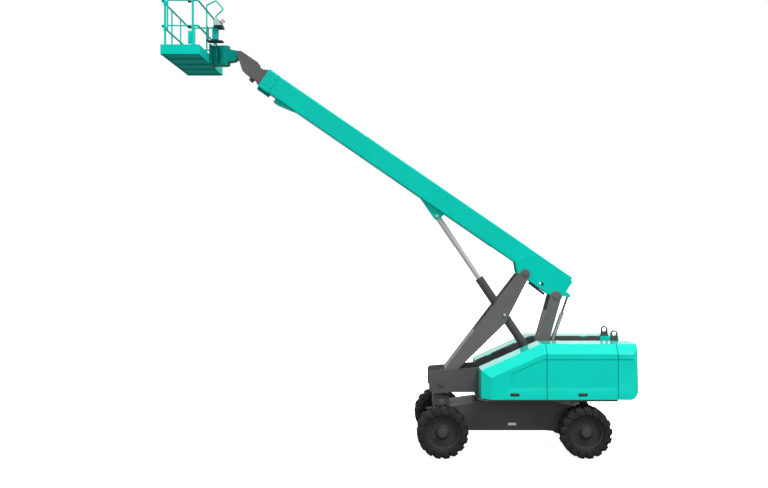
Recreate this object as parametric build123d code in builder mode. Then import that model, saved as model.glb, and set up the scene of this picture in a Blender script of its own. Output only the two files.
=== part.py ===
"""Telescopic boom lift: wheeled chassis, slewing turntable, floating boom linkage and platform."""
import os
from math import cos, hypot, radians, sin

from build123d import *

os.makedirs("parts", exist_ok=True)

# Frame: millimetres, X forward to the platform, Y to the machine's left, Z up from the ground.
# Shared clearances
SEAT = 0.3
SEAM = 10
RUN = 8

# Running gear
WHEELBASE = 2850
TRACK = 2080
TYRE_R = 515
TYRE_WIDTH = 420
TYRE_SHOULDER = 70
SIDEWALL = 185
RIM_WALL = 18
RIM_WIDTH = 330
HUB_R = 125
HUB_OUT = 120
SPINDLE_R = 60
KINGPIN_Y = 745
KINGPIN_R = 45
KNUCKLE_EAR = 60
KNUCKLE_R_EAR = 95
KNUCKLE_REACH = 125
YOKE_WIDTH = 190
YOKE_THICK = 40
KINGPIN_CAP_R = 58
KINGPIN_CAP = 420
AXLE_EYE_R = 88
AXLE_HEIGHT = 190
AXLE_DEPTH = 170
AXLE_FLANGE_R = 130
FLANGE_IN = 230
HUB_IN = 90
HUB_DEEP = 60

# Chassis box
CHASSIS_HALF = 450
CHASSIS_TOP = 1000
CHASSIS_BOTTOM = 405
CHASSIS_OVERHANG = 135
CHASSIS_END_TOP = 860
CHASSIS_WALL = 20
SKIRT_DROP = 25
SHOULDER_DROP = 30
WELL_EDGE = 250
WELL_FRONT = 450
WELL_REAR = 420
SKIRT_REACH = 700
SHOULDER_REACH = 600
RING_TAIL = 350
TIE_BORE_R = 32
TIE_THICK = 36
TIE_R = 75
TIE_OUT = 70
TIE_Y = 330
TIE_RISE = 90
HATCH_LENGTH = 700
HATCH_WIDTH = 420
SLEW_R = 560
SLEW_BORE_R = 430

# Turntable
DECK_BOTTOM = 1130
DECK_THICK = 30
DECK_LIP = 65
DECK_INSET = 40
NOSE_ROOT = 60
NOSE_FLOOR = 20
CHEEK_INNER = 400
CHEEK_THICK = 30
NOSE_TIP = 1670
NOSE_BOTTOM = 1190
NOSE_TOP_FRONT = 1585

# Hoods and counterweight
HOOD_FRONT = 645
BROW_RISE = 555
HOOD_BREAK = -550
HOOD_RISE = 1090
HOOD_INNER = 480
HOOD_OUTER = 1200
HOOD_BEVEL = 180
HOOD_WALL = 25
DOOR_SEAM = -643
TAIL_SEAM = -2060
TAIL_DEPTH = 410
TAIL_LEAN = 30
TAIL_CORNER = 200
TAIL_NOTCH_HALF = 390
TAIL_NOTCH_FLOOR = 1950
HINGE_R = 10
KNUCKLE_R = 17
KNUCKLE_LENGTH = 120
KNUCKLE_SHARES = (0.25, 0.75)
BRACKET_SHARES = (0.1, 0.5, 0.9)
HINGE_LEAF = 30
HANDLE_LENGTH = 180
HANDLE_HEIGHT = 62
HANDLE_THICK = 16
HANDLE_Z = 1272
HANDLE_FRONT_X = -5
HANDLE_REAR_X = -1356
EYE_R = 75
EYE_BORE_R = 45
EYE_THICK = 40
EYE_Y = 440
EYE_X = -2155
EYE_RISE = 140
ENGINE_SIZE = (1000, 480, 680)
TANK_SIZE = (900, 420, 600)

# Boom linkage pivots, as (X, Z) in the raised rest pose
ARM_BASE = (1420, 1370)
ARM_TOP = (-350, 3630)
LINK_TOP = (-990, 3155)
TRUNNION = (83, 2770)
ROD_EYE = (1483, 4840)
TAIL_EYE = (-1255, 3175)
LEVEL_BASE = (-667, 1475)
LINK_BASE = (-504, 1422)
BOOM_ANGLE = 34.5
ARM_INNER = 222
ARM_THICK = 30
LINK_THICK = 25
LINK_HALF = 115
PIN_R = 45
ARM_END_R = 100
ARM_FOOT_R = 140
COVER_THICK = 12
COVER_LOW = 0.1
COVER_HIGH = 0.47
LINK_COVER_LOW = 330
LINK_COVER_HIGH = 1120

# Cylinders
LIFT_BARREL_R = 92
LIFT_BORE_R = 70
LIFT_ROD_R = 58
LIFT_ABOVE = 920
LIFT_BELOW = 860
LIFT_INSERT = 945
TRUNNION_R = 50
LEVEL_Y = 150
LEVEL_BARREL_R = 42
LEVEL_BORE_R = 34
LEVEL_ROD_R = 24
LEVEL_EXPOSED = 390
LEVEL_INSERT = 320
LEVEL_EYE_R = 44
LEVEL_EYE_HALF = 32
LEVEL_PIN_R = 22
GLAND = 90
END_CAP = 45

# Boom sections, measured along the boom (U) and square to it (V) from the arm's top pin
BOOM_LOW = 72
BOOM_TAIL = -920
BOOM_TIP = 6840
COLLAR_LENGTH = 260
COLLAR_PROUD = 8
COLLAR_BLOCK = 55
GUSSET_START = 5870
GUSSET_LENGTH = 535
GUSSET_DEPTH = 90
GUSSET_WIDTH = 200
TUBE_SET = 45
BASE_PLATE = 24
PLATE_FRONT = 325
PLATE_TOE = 150
PLATE_LOW = -75
PLATE_DROP = 70
LUG_R = 78
LUG_INNER = 64
LUG_THICK = 26
SECTION_CORNER = 30
TIP_STEP = 55
PAD_LENGTH = 180
NEST_STEP = 130
# name: width, height, wall
SECTIONS = {"boom_base": (380, 430, 10), "boom_mid": (330, 376, 8), "boom_fly": (282, 326, 8)}
NECK_THICK = 28
NECK_R = 64
HEAD_PIN_R = 30
LEVEL_PIVOT = (7548, 420)

# Platform
ROTATOR_X = 5990
ROTATOR_R = 130
ROTATOR_LIFT = 20
ROTATOR_HEIGHT = 350
FLANGE = 30
SUPPORT_THICK = 40
SUPPORT_WIDTH = 560
PLATFORM_REAR = 6250
PLATFORM_FRONT = 7030
PLATFORM_HALF = 1220
FLOOR_LOW = 8030
TOE_HEIGHT = 190
TOE_THICK = 6
FLOOR_THICK = 12
FLOOR_DROP = 150
TOE_CORNER = 30
BEARERS = 5
RAIL_R = 19
POST_R = 16
GATE_POST_R = 23
MID_RAIL_HEIGHT = 530
TOP_RAIL_HEIGHT = 1030
RAIL_BEND = 32
GATE_REAR = 6385
GATE_FRONT = 6935
GATE_TUBE_R = 16
GATE_BAR_R = 14
GATE_SLEEVE = 70
GATE_SLEEVE_DROP = 60
GATE_SLEEVE_WALL = 8
HOOP_Y = 380
CONSOLE_WIDTH = 300
CONSOLE_HEIGHT = 830
CONSOLE_DEPTH = 170
CONSOLE_LIP = 40
CONSOLE_OUT = 179
CONSOLE_LENGTH = 165
CONSOLE_FLAT = 55
COLUMN_WIDTH = 150
COLUMN_LENGTH = 115
BRACKET_LOW = 375
BRACKET_THICK = 14

# Values worked out from the sizes above
AXLE_X = WHEELBASE / 2
CHASSIS_END = AXLE_X + CHASSIS_OVERHANG
RIM_R = TYRE_R - SIDEWALL
WHEEL_Y = TRACK / 2
boom_dir = (cos(radians(BOOM_ANGLE)), 0, sin(radians(BOOM_ANGLE)))
ARM_OUTER = ARM_INNER + ARM_THICK
LINK_OUTER = ARM_INNER + LINK_THICK
CHEEK_OUTER = CHEEK_INNER + CHEEK_THICK
BASE_HALF = SECTIONS["boom_base"][0] / 2
BASE_OUTER = BASE_HALF + BASE_PLATE
DECK_TOP = DECK_BOTTOM + DECK_THICK
HOOD_LOW = DECK_TOP + SEAM
HOOD_BROW = HOOD_LOW + BROW_RISE
HOOD_TOP = HOOD_LOW + HOOD_RISE
TAIL_END = TAIL_SEAM - TAIL_DEPTH
EYE_Z = HOOD_TOP + EYE_RISE
LINK_LENGTH = hypot(LINK_BASE[0] - LINK_TOP[0], LINK_BASE[1] - LINK_TOP[1])
TOE_TOP = FLOOR_LOW + TOE_HEIGHT
floor_top = TOE_TOP - FLOOR_DROP
RAIL_MID = floor_top + MID_RAIL_HEIGHT
RAIL_TOP = floor_top + TOP_RAIL_HEIGHT
CONSOLE_TOP = floor_top + CONSOLE_HEIGHT
ROTATOR_LOW = FLOOR_LOW + ROTATOR_LIFT
ROTATOR_HIGH = ROTATOR_LOW + ROTATOR_HEIGHT
HINGE_Y = CHEEK_OUTER + KNUCKLE_R + SEAM
BIG = 20000


def finish(builder, name):
    """Label a finished piece and write its STEP file."""
    builder.part.label = name
    export_step(builder.part, f"parts/{name}.step")


def boom_point(u, v, y=0):
    """World point at u along the boom and v square to it."""
    return (
        ARM_TOP[0] + u * boom_dir[0] - v * boom_dir[2],
        y,
        ARM_TOP[1] + u * boom_dir[2] + v * boom_dir[0],
    )


def boom_uv(point):
    """Place of a side-view point in the boom's own U and V."""
    dx = point[0] - ARM_TOP[0]
    dz = point[1] - ARM_TOP[1]
    return (dx * boom_dir[0] + dz * boom_dir[2], dz * boom_dir[0] - dx * boom_dir[2])


def boom_section(u, v):
    """Plane across the boom at u, centred on height v."""
    return Plane(origin=boom_point(u, v), x_dir=(0, 1, 0), z_dir=boom_dir)


def along(start, end):
    """Plane at a cylinder's start, looking along it to its end, in the side view."""
    dx = end[0] - start[0]
    dz = end[1] - start[1]
    return Plane(origin=(start[0], 0, start[1]), x_dir=(0, 1, 0), z_dir=(dx, 0, dz))


boom_side = Plane(origin=boom_point(0, 0), x_dir=boom_dir, z_dir=(0, -1, 0))
u_eye, v_eye = boom_uv(ROD_EYE)
u_tail, v_tail = boom_uv(TAIL_EYE)
u_link, v_link = boom_uv(LINK_TOP)


def hinge_line(rear_point, front_point):
    """Plane at the rear end of a hood hinge, looking forward along it, and the hinge's length."""
    dx = front_point[0] - rear_point[0]
    dz = front_point[1] - rear_point[1]
    length = hypot(dx, dz)
    lift = -KNUCKLE_R / length
    origin = (rear_point[0] - dz * lift, HINGE_Y, rear_point[1] + dx * lift)
    return Plane(origin=origin, x_dir=(0, 1, 0), z_dir=(dx, 0, dz)), length


def share_point(start, end, share, inset):
    """Point a share of the way from start to end, drawn in square to that line."""
    dx = end[0] - start[0]
    dz = end[1] - start[1]
    length = hypot(dx, dz)
    return (start[0] + share * dx - inset * dz / length, start[1] + share * dz + inset * dx / length)


front_hinge = ((HOOD_BREAK, HOOD_TOP), (HOOD_FRONT, HOOD_BROW))
rear_hinge = ((TAIL_SEAM, HOOD_TOP), (DOOR_SEAM, HOOD_TOP))
covers = [
    # name, rear X, front X, hinge's rear and front ends as (X, Z), handle X
    ("front_cover", DOOR_SEAM + SEAM / 2, BIG, *front_hinge, HANDLE_FRONT_X),
    ("rear_cover", TAIL_SEAM + SEAM, DOOR_SEAM - SEAM / 2, *rear_hinge, HANDLE_REAR_X),
]


# Wheels: a tyre and a dished rim with its hub at each corner
wheel_places = [
    # name, X, side, steered
    ("front_left", AXLE_X, 1, True),
    ("front_right", AXLE_X, -1, True),
    ("rear_left", -AXLE_X, 1, False),
    ("rear_right", -AXLE_X, -1, False),
]
for name, x, side, steered in wheel_places:
    centre = (x, side * WHEEL_Y, TYRE_R)
    wheel_plane = Plane(origin=centre, x_dir=(0, side, 0), z_dir=(side, 0, 0))
    wheel_axis = Axis(centre, (0, 1, 0))
    with BuildPart() as tyre:
        with BuildSketch(wheel_plane):
            with BuildLine():
                Polyline(
                    (-RIM_WIDTH / 2, RIM_R + SEAT),
                    (-TYRE_WIDTH / 2, RIM_R + TYRE_SHOULDER),
                    (-TYRE_WIDTH / 2, TYRE_R - TYRE_SHOULDER),
                    (-TYRE_WIDTH / 2 + TYRE_SHOULDER, TYRE_R),
                    (TYRE_WIDTH / 2 - TYRE_SHOULDER, TYRE_R),
                    (TYRE_WIDTH / 2, TYRE_R - TYRE_SHOULDER),
                    (TYRE_WIDTH / 2, RIM_R + TYRE_SHOULDER),
                    (RIM_WIDTH / 2, RIM_R + SEAT),
                    close=True,
                )
            make_face()
        revolve(axis=wheel_axis)
    finish(tyre, f"tyre_{name}")

    with BuildPart() as rim:
        with BuildSketch(wheel_plane):
            with BuildLine():
                Polyline(
                    (-RIM_WIDTH / 2, RIM_R),
                    (RIM_WIDTH / 2, RIM_R),
                    (RIM_WIDTH / 2, RIM_R - RIM_WALL),
                    (70, RIM_R - 2 * RIM_WALL),
                    (90, HUB_R + 30),
                    (HUB_OUT, HUB_R),
                    (HUB_OUT + 45, HUB_R - 25),
                    (HUB_OUT + 45, 0),
                    (HUB_DEEP, 0),
                    (HUB_DEEP, SPINDLE_R + SEAT),
                    (-HUB_IN, SPINDLE_R + SEAT),
                    (-HUB_IN, HUB_R),
                    (60, HUB_R + 30),
                    (40, RIM_R - 2 * RIM_WALL),
                    (-RIM_WIDTH / 2, RIM_R - RIM_WALL),
                    close=True,
                )
            make_face()
        revolve(axis=wheel_axis)
    finish(rim, f"rim_{name}")

    if steered:
        # Knuckle: upper and lower ears on the kingpin, and the wheel's spindle
        ear_z = AXLE_HEIGHT / 2 + RUN
        with BuildPart() as knuckle:
            with BuildSketch(Plane.XY.offset(TYRE_R - ear_z - KNUCKLE_EAR)):
                with Locations((x, side * KINGPIN_Y)):
                    Circle(KINGPIN_R)
            extrude(amount=2 * (ear_z + KNUCKLE_EAR))
            for z in (TYRE_R + ear_z, TYRE_R - ear_z - KNUCKLE_EAR):
                with BuildSketch(Plane.XY.offset(z)):
                    with Locations((x, side * KINGPIN_Y)):
                        Circle(KNUCKLE_R_EAR)
                    with Locations((x, side * (KINGPIN_Y + KNUCKLE_REACH / 2))):
                        Rectangle(2 * KNUCKLE_R_EAR - YOKE_THICK, KNUCKLE_REACH + YOKE_THICK / 2)
                extrude(amount=KNUCKLE_EAR)
            with BuildSketch(Plane.XY.offset(TYRE_R + ear_z + KNUCKLE_EAR)):
                with Locations((x, side * KINGPIN_Y)):
                    Circle(KINGPIN_CAP_R)
            extrude(amount=KINGPIN_CAP)
            chamfer(knuckle.faces().sort_by(Axis.Z)[-1].edges(), length=KINGPIN_CAP_R / 4)
            yoke_y = KINGPIN_Y + KNUCKLE_REACH
            with BuildSketch(Plane(origin=(x, side * yoke_y, TYRE_R), x_dir=(1, 0, 0), z_dir=(0, side, 0))):
                RectangleRounded(YOKE_WIDTH, 2 * (ear_z + KNUCKLE_EAR), YOKE_THICK / 2)
            extrude(amount=YOKE_THICK)
            spindle_y = yoke_y + YOKE_THICK
            spindle_root = (x, side * spindle_y, TYRE_R)
            with BuildSketch(Plane(origin=spindle_root, x_dir=(1, 0, 0), z_dir=(0, side, 0))):
                Circle(SPINDLE_R)
            extrude(amount=WHEEL_Y + HUB_DEEP - SEAT - spindle_y)
        finish(knuckle, f"knuckle_{name.split('_')[1]}")

# Front axle: box beam with an upright eye at each end for the kingpins
with BuildPart() as front_axle:
    with BuildSketch(Plane.XZ):
        with Locations((AXLE_X, TYRE_R)):
            RectangleRounded(AXLE_DEPTH, AXLE_HEIGHT, 25)
    extrude(amount=KINGPIN_Y - 60, both=True)
    with BuildSketch(Plane.XY.offset(TYRE_R - AXLE_HEIGHT / 2)):
        with Locations((AXLE_X, KINGPIN_Y), (AXLE_X, -KINGPIN_Y)):
            Circle(AXLE_EYE_R)
    extrude(amount=AXLE_HEIGHT)
    with BuildSketch(Plane.XY.offset(TYRE_R - AXLE_HEIGHT / 2)):
        with Locations((AXLE_X, KINGPIN_Y), (AXLE_X, -KINGPIN_Y)):
            Circle(KINGPIN_R + SEAT)
    extrude(amount=AXLE_HEIGHT, mode=Mode.SUBTRACT)
finish(front_axle, "front_axle")

# Rear axle: box beam with a flange and a spindle at each end
with BuildPart() as rear_axle:
    with BuildSketch(Plane.XZ):
        with Locations((-AXLE_X, TYRE_R)):
            RectangleRounded(AXLE_DEPTH, AXLE_HEIGHT, 25)
    extrude(amount=WHEEL_Y - FLANGE_IN, both=True)
    for side in (1, -1):
        flange_y = WHEEL_Y - HUB_IN - RUN if side > 0 else FLANGE_IN - WHEEL_Y
        with BuildSketch(Plane.XZ.offset(-flange_y)):
            with Locations((-AXLE_X, TYRE_R)):
                Circle(AXLE_FLANGE_R)
        extrude(amount=FLANGE_IN - HUB_IN - RUN)
    with BuildSketch(Plane.XZ):
        with Locations((-AXLE_X, TYRE_R)):
            Circle(SPINDLE_R)
    extrude(amount=WHEEL_Y + HUB_DEEP - SEAT, both=True)
finish(rear_axle, "rear_axle")

# Chassis: welded box with raised ends over the axles and tie-down ears
AXLE_SEAT = TYRE_R + AXLE_HEIGHT / 2
with BuildPart() as chassis:
    with BuildSketch(Plane.XZ) as chassis_outline:
        with BuildLine():
            Polyline(
                (CHASSIS_END, AXLE_SEAT),
                (CHASSIS_END, CHASSIS_END_TOP),
                (AXLE_X - SHOULDER_REACH, CHASSIS_TOP - SHOULDER_DROP),
                (SLEW_R, CHASSIS_TOP),
                (-SLEW_R - RING_TAIL, CHASSIS_TOP),
                (-CHASSIS_END, CHASSIS_END_TOP),
                (-CHASSIS_END, AXLE_SEAT),
                (-AXLE_X + WELL_EDGE, AXLE_SEAT),
                (-AXLE_X + WELL_REAR, CHASSIS_BOTTOM - SKIRT_DROP),
                (-AXLE_X + SKIRT_REACH, CHASSIS_BOTTOM),
                (AXLE_X - WELL_FRONT, CHASSIS_BOTTOM),
                (AXLE_X - WELL_EDGE, AXLE_SEAT),
                close=True,
            )
        make_face()
    extrude(amount=CHASSIS_HALF, both=True)
    with BuildSketch(Plane.XZ):
        add(chassis_outline.sketch)
        offset(amount=-CHASSIS_WALL, kind=Kind.INTERSECTION, mode=Mode.REPLACE)
    extrude(amount=CHASSIS_HALF - CHASSIS_WALL, both=True, mode=Mode.SUBTRACT)
    with BuildSketch(Plane.XY.offset(CHASSIS_BOTTOM - CHASSIS_WALL)):
        RectangleRounded(HATCH_LENGTH, HATCH_WIDTH, 3 * CHASSIS_WALL)
    extrude(amount=3 * CHASSIS_WALL, mode=Mode.SUBTRACT)
    # Tie-down ears: flat bored tongues at the four corners
    with BuildSketch(Plane.XY.offset(AXLE_SEAT + TIE_RISE)):
        for end in (1, -1):
            ear_places = [(end * (CHASSIS_END + TIE_OUT), y) for y in (TIE_Y, -TIE_Y)]
            with Locations(*ear_places):
                Circle(TIE_R)
            with Locations(*[(ear_x - end * TIE_OUT / 2, y) for ear_x, y in ear_places]):
                Rectangle(TIE_OUT + CHASSIS_WALL, 2 * TIE_R)
            with Locations(*ear_places):
                Circle(TIE_BORE_R, mode=Mode.SUBTRACT)
    extrude(amount=TIE_THICK)
finish(chassis, "chassis_frame")

# Slew ring between the chassis and the turntable deck
with BuildPart() as slew_ring:
    with BuildSketch(Plane.XY.offset(CHASSIS_TOP)):
        Circle(SLEW_R)
        Circle(SLEW_BORE_R, mode=Mode.SUBTRACT)
    extrude(amount=DECK_BOTTOM - CHASSIS_TOP - SEAT)
finish(slew_ring, "slew_ring")

# Turntable: deck and two long cheek plates that form the nose and the hoods' inner walls
with BuildPart() as turntable:
    with BuildSketch(Plane.XZ):
        with BuildLine():
            Polyline(
                (NOSE_TIP, NOSE_BOTTOM + NOSE_ROOT),
                (NOSE_TIP, NOSE_TOP_FRONT),
                (NOSE_TIP - 50, NOSE_TOP_FRONT + 40),
                (HOOD_FRONT, HOOD_BROW - HOOD_WALL),
                (HOOD_BREAK, HOOD_TOP - HOOD_WALL),
                (TAIL_SEAM + SEAT, HOOD_TOP - HOOD_WALL),
                (TAIL_SEAM + SEAT, DECK_BOTTOM),
                (HOOD_FRONT, DECK_BOTTOM),
                (HOOD_FRONT + NOSE_ROOT, NOSE_BOTTOM),
                (NOSE_TIP - NOSE_ROOT, NOSE_BOTTOM),
                close=True,
            )
        make_face()
    extrude(amount=CHEEK_OUTER, both=True)
    with BuildSketch(Plane.XZ.offset(-CHEEK_INNER)):
        with Locations((0, BIG / 2 - BIG / 4)):
            Rectangle(BIG, BIG)
    extrude(amount=2 * CHEEK_INNER, mode=Mode.SUBTRACT)
    deck_front = HOOD_FRONT + DECK_LIP
    deck_half = HOOD_OUTER - DECK_INSET
    with BuildSketch(Plane.XY.offset(DECK_BOTTOM)):
        with BuildLine():
            Polyline(
                (deck_front, 0),
                (deck_front, deck_half - HOOD_BEVEL),
                (deck_front - HOOD_BEVEL, deck_half),
                (TAIL_SEAM + SEAT, deck_half),
                (TAIL_SEAM + SEAT, 0),
                close=True,
            )
        make_face()
        mirror(about=Plane.XZ)
    extrude(amount=DECK_THICK)
    with BuildSketch(Plane.XY.offset(NOSE_BOTTOM)):
        with Locations(((NOSE_TIP + HOOD_FRONT) / 2 - NOSE_ROOT, 0)):
            Rectangle(NOSE_TIP - HOOD_FRONT, 2 * CHEEK_OUTER)
    extrude(amount=NOSE_FLOOR)
    with BuildSketch(Plane.XZ):
        with Locations(ARM_BASE):
            Circle(PIN_R + SEAT)
    extrude(amount=CHEEK_OUTER, both=True, mode=Mode.SUBTRACT)
    for side in (1, -1):
        boss_y = CHEEK_INNER if side > 0 else -LINK_OUTER - RUN
        with BuildSketch(Plane.XZ.offset(-boss_y)):
            with Locations(LINK_BASE):
                Circle(PIN_R)
        extrude(amount=CHEEK_INNER - LINK_OUTER - RUN)
    # Hinge rods of the hood covers, each on brackets welded to the cheek
    for name, rear, front, hinge_rear, hinge_front, handle_x in covers:
        hinge, length = hinge_line(hinge_rear, hinge_front)
        with BuildSketch(hinge.offset(KNUCKLE_LENGTH / 2)):
            Circle(HINGE_R)
        rods = extrude(amount=length - KNUCKLE_LENGTH)
        mirror(rods, about=Plane.XZ)
        for share in BRACKET_SHARES:
            with BuildSketch(hinge.offset(share * length - KNUCKLE_LENGTH / 2)):
                with Locations(((CHEEK_OUTER - CHEEK_THICK / 2 - HINGE_Y) / 2, 0)):
                    Rectangle(HINGE_Y - CHEEK_OUTER + CHEEK_THICK / 2, 2 * KNUCKLE_R - 4)
            bracket = extrude(amount=KNUCKLE_LENGTH)
            mirror(bracket, about=Plane.XZ)
finish(turntable, "turntable_frame")


def hood_block(inset):
    """One side's whole hood as a solid drawn in by inset, open below, with bevelled outer edges."""
    with BuildPart() as block:
        with BuildSketch(Plane.XZ.offset(inset - HOOD_OUTER)):
            with BuildLine():
                Polyline(
                    (HOOD_FRONT, HOOD_LOW - 2 * inset),
                    (HOOD_FRONT, HOOD_BROW),
                    (HOOD_BREAK, HOOD_TOP),
                    (TAIL_END, HOOD_TOP),
                    (TAIL_END, HOOD_LOW - 2 * inset),
                    close=True,
                )
            make_face()
            offset(amount=-inset, kind=Kind.INTERSECTION, mode=Mode.REPLACE)
        extrude(amount=HOOD_OUTER - HOOD_INNER)
        outer_face = block.faces().sort_by(Axis.Y)[-1]
        upright = outer_face.edges().sort_by(Axis.X)
        crown = outer_face.edges().sort_by(Axis.Z)[1:]
        chamfer([edge for edge in crown if edge != upright[0]], length=HOOD_BEVEL - inset * (2 - 2**0.5))
    return block.part


# Hood covers: a front and a rear gull-wing shell on each side, and a grab handle on each
hood_outer = hood_block(0)
hood_inner = hood_block(HOOD_WALL)
for name, rear, front, hinge_rear, hinge_front, handle_x in covers:
    for side, hand in ((1, "left"), (-1, "right")):
        hinge, length = hinge_line(hinge_rear, hinge_front)
        with BuildPart() as cover:
            add(hood_outer)
            add(hood_inner, mode=Mode.SUBTRACT)
            split(bisect_by=Plane.YZ.offset(rear), keep=Keep.TOP)
            split(bisect_by=Plane.YZ.offset(front), keep=Keep.BOTTOM)
            for share in KNUCKLE_SHARES:
                with BuildSketch(hinge.offset(share * length - KNUCKLE_LENGTH / 2)):
                    Circle(KNUCKLE_R)
                    with Locations((HINGE_LEAF / 2, KNUCKLE_R / 2)):
                        Rectangle(HINGE_LEAF, KNUCKLE_R)
                extrude(amount=KNUCKLE_LENGTH)
                with BuildSketch(hinge.offset(share * length - KNUCKLE_LENGTH / 2)):
                    Circle(HINGE_R + SEAT)
                extrude(amount=KNUCKLE_LENGTH, mode=Mode.SUBTRACT)
            if side < 0:
                mirror(about=Plane.XZ, mode=Mode.REPLACE)
        finish(cover, f"{name}_{hand}")

        with BuildPart() as handle:
            face_y = side * (HOOD_OUTER + SEAT)
            with BuildSketch(Plane(origin=(handle_x, face_y, HANDLE_Z), x_dir=(1, 0, 0), z_dir=(0, side, 0))):
                RectangleRounded(HANDLE_LENGTH, HANDLE_HEIGHT, HANDLE_HEIGHT / 3)
            extrude(amount=HANDLE_THICK)
            chamfer(handle.faces().sort_by(Axis.Y)[-1 if side > 0 else 0].edges(), length=HANDLE_THICK / 3)
        finish(handle, f"handle_{name}_{hand}")

# Counterweight: full-width tail casting with a notch under the boom
with BuildPart() as counterweight:
    with BuildSketch(Plane.XZ):
        with BuildLine():
            Polyline(
                (TAIL_SEAM, HOOD_LOW),
                (TAIL_SEAM, HOOD_TOP),
                (TAIL_END + TAIL_LEAN, HOOD_TOP),
                (TAIL_END, HOOD_LOW),
                close=True,
            )
        make_face()
    extrude(amount=HOOD_OUTER, both=True)
    top_edges = counterweight.faces().sort_by(Axis.Z)[-1].edges().filter_by(Axis.X)
    chamfer(top_edges, length=HOOD_BEVEL)
    low_edge = counterweight.edges().filter_by(Axis.Y).sort_by(Axis.Z)[:2].sort_by(Axis.X)[0]
    fillet(low_edge, radius=TAIL_CORNER)
    with BuildSketch(Plane.YZ.offset(TAIL_SEAM)):
        with Locations((0, HOOD_TOP)):
            Rectangle(2 * TAIL_NOTCH_HALF, 2 * (HOOD_TOP - TAIL_NOTCH_FLOOR))
    extrude(amount=TAIL_END - TAIL_SEAM, mode=Mode.SUBTRACT)
finish(counterweight, "counterweight")

# Lifting eyes: a bored ear on a foot plate at each side of the notch
with BuildPart() as lifting_eyes:
    for side in (1, -1):
        top_y = side * EYE_Y + EYE_THICK / 2
        with BuildSketch(Plane.XZ.offset(-top_y)):
            with Locations((EYE_X, EYE_Z)):
                Circle(EYE_R)
            with Locations((EYE_X, (EYE_Z + HOOD_TOP + SEAT) / 2)):
                Rectangle(2 * EYE_R, EYE_Z - HOOD_TOP - SEAT)
            with Locations((EYE_X, EYE_Z)):
                Circle(EYE_BORE_R, mode=Mode.SUBTRACT)
        extrude(amount=EYE_THICK)
        with BuildSketch(Plane.XY.offset(HOOD_TOP + SEAT)):
            with Locations((EYE_X, side * EYE_Y)):
                RectangleRounded(2 * EYE_R + 30, 2 * EYE_THICK, 15)
        extrude(amount=20)
finish(lifting_eyes, "lifting_eyes")

# Engine and tank: plain masses on the deck under the hoods
for name, side, (length, width, height) in (
    ("engine_block", -1, ENGINE_SIZE),
    ("hydraulic_tank", 1, TANK_SIZE),
):
    with BuildPart() as mass:
        with BuildSketch(Plane.XY.offset(DECK_TOP)):
            with Locations(((DOOR_SEAM + TAIL_SEAM) / 2, side * (CHEEK_OUTER + deck_half) / 2)):
                RectangleRounded(length, width, 40)
        extrude(amount=height)
        chamfer(mass.faces().sort_by(Axis.Z)[-1].edges(), length=25)
    finish(mass, name)

# Arm: two boomerang cheeks joined by a foot tube and a front cover, with stub pins at the top
arm_front_top = (ARM_TOP[0] + 174, ARM_TOP[1] - 13)
arm_front_foot = (ARM_BASE[0] + 80, ARM_BASE[1] + 58)
with BuildPart() as arm:
    with BuildSketch(Plane.XZ):
        with BuildLine():
            Polyline(
                arm_front_top,
                arm_front_foot,
                (ARM_BASE[0] - 130, ARM_BASE[1] + 40),
                (TRUNNION[0] - 16, TRUNNION[1] - 166),
                (TRUNNION[0] - 106, TRUNNION[1] + 11),
                (ARM_TOP[0] - 88, ARM_TOP[1] - 44),
                (ARM_TOP[0] - 20, ARM_TOP[1] + 96),
                close=True,
            )
        make_face()
        with Locations(ARM_TOP):
            Circle(ARM_END_R)
        with Locations(ARM_BASE):
            Circle(ARM_FOOT_R)
    extrude(amount=ARM_OUTER, both=True)
    with BuildSketch(Plane.XZ):
        with Locations(TRUNNION):
            Circle(2 * BIG / 10)
    extrude(amount=ARM_INNER, both=True, mode=Mode.SUBTRACT)
    with BuildSketch(Plane.XZ):
        with Locations(ARM_BASE):
            Circle(ARM_FOOT_R - 30)
    extrude(amount=ARM_INNER, both=True)
    with BuildSketch(Plane.XZ):
        with Locations(ARM_BASE):
            Circle(PIN_R)
    extrude(amount=CHEEK_OUTER, both=True)
    with BuildSketch(Plane.XZ):
        with BuildLine():
            Polyline(
                share_point(arm_front_foot, arm_front_top, COVER_LOW, 4),
                share_point(arm_front_foot, arm_front_top, COVER_HIGH, 4),
                share_point(arm_front_foot, arm_front_top, COVER_HIGH, 4 + COVER_THICK),
                share_point(arm_front_foot, arm_front_top, COVER_LOW, 4 + COVER_THICK),
                close=True,
            )
        make_face()
    extrude(amount=ARM_INNER, both=True)
    for side in (1, -1):
        pin_y = ARM_INNER if side > 0 else -BASE_HALF
        with BuildSketch(Plane.XZ.offset(-pin_y)):
            with Locations(ARM_TOP):
                Circle(PIN_R)
        extrude(amount=ARM_INNER - BASE_HALF)
        boss_y = ARM_OUTER + 14 if side > 0 else -ARM_OUTER
        with BuildSketch(Plane.XZ.offset(-boss_y)):
            with Locations(TRUNNION):
                Circle(TRUNNION_R)
        extrude(amount=14)
finish(arm, "arm")

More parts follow.
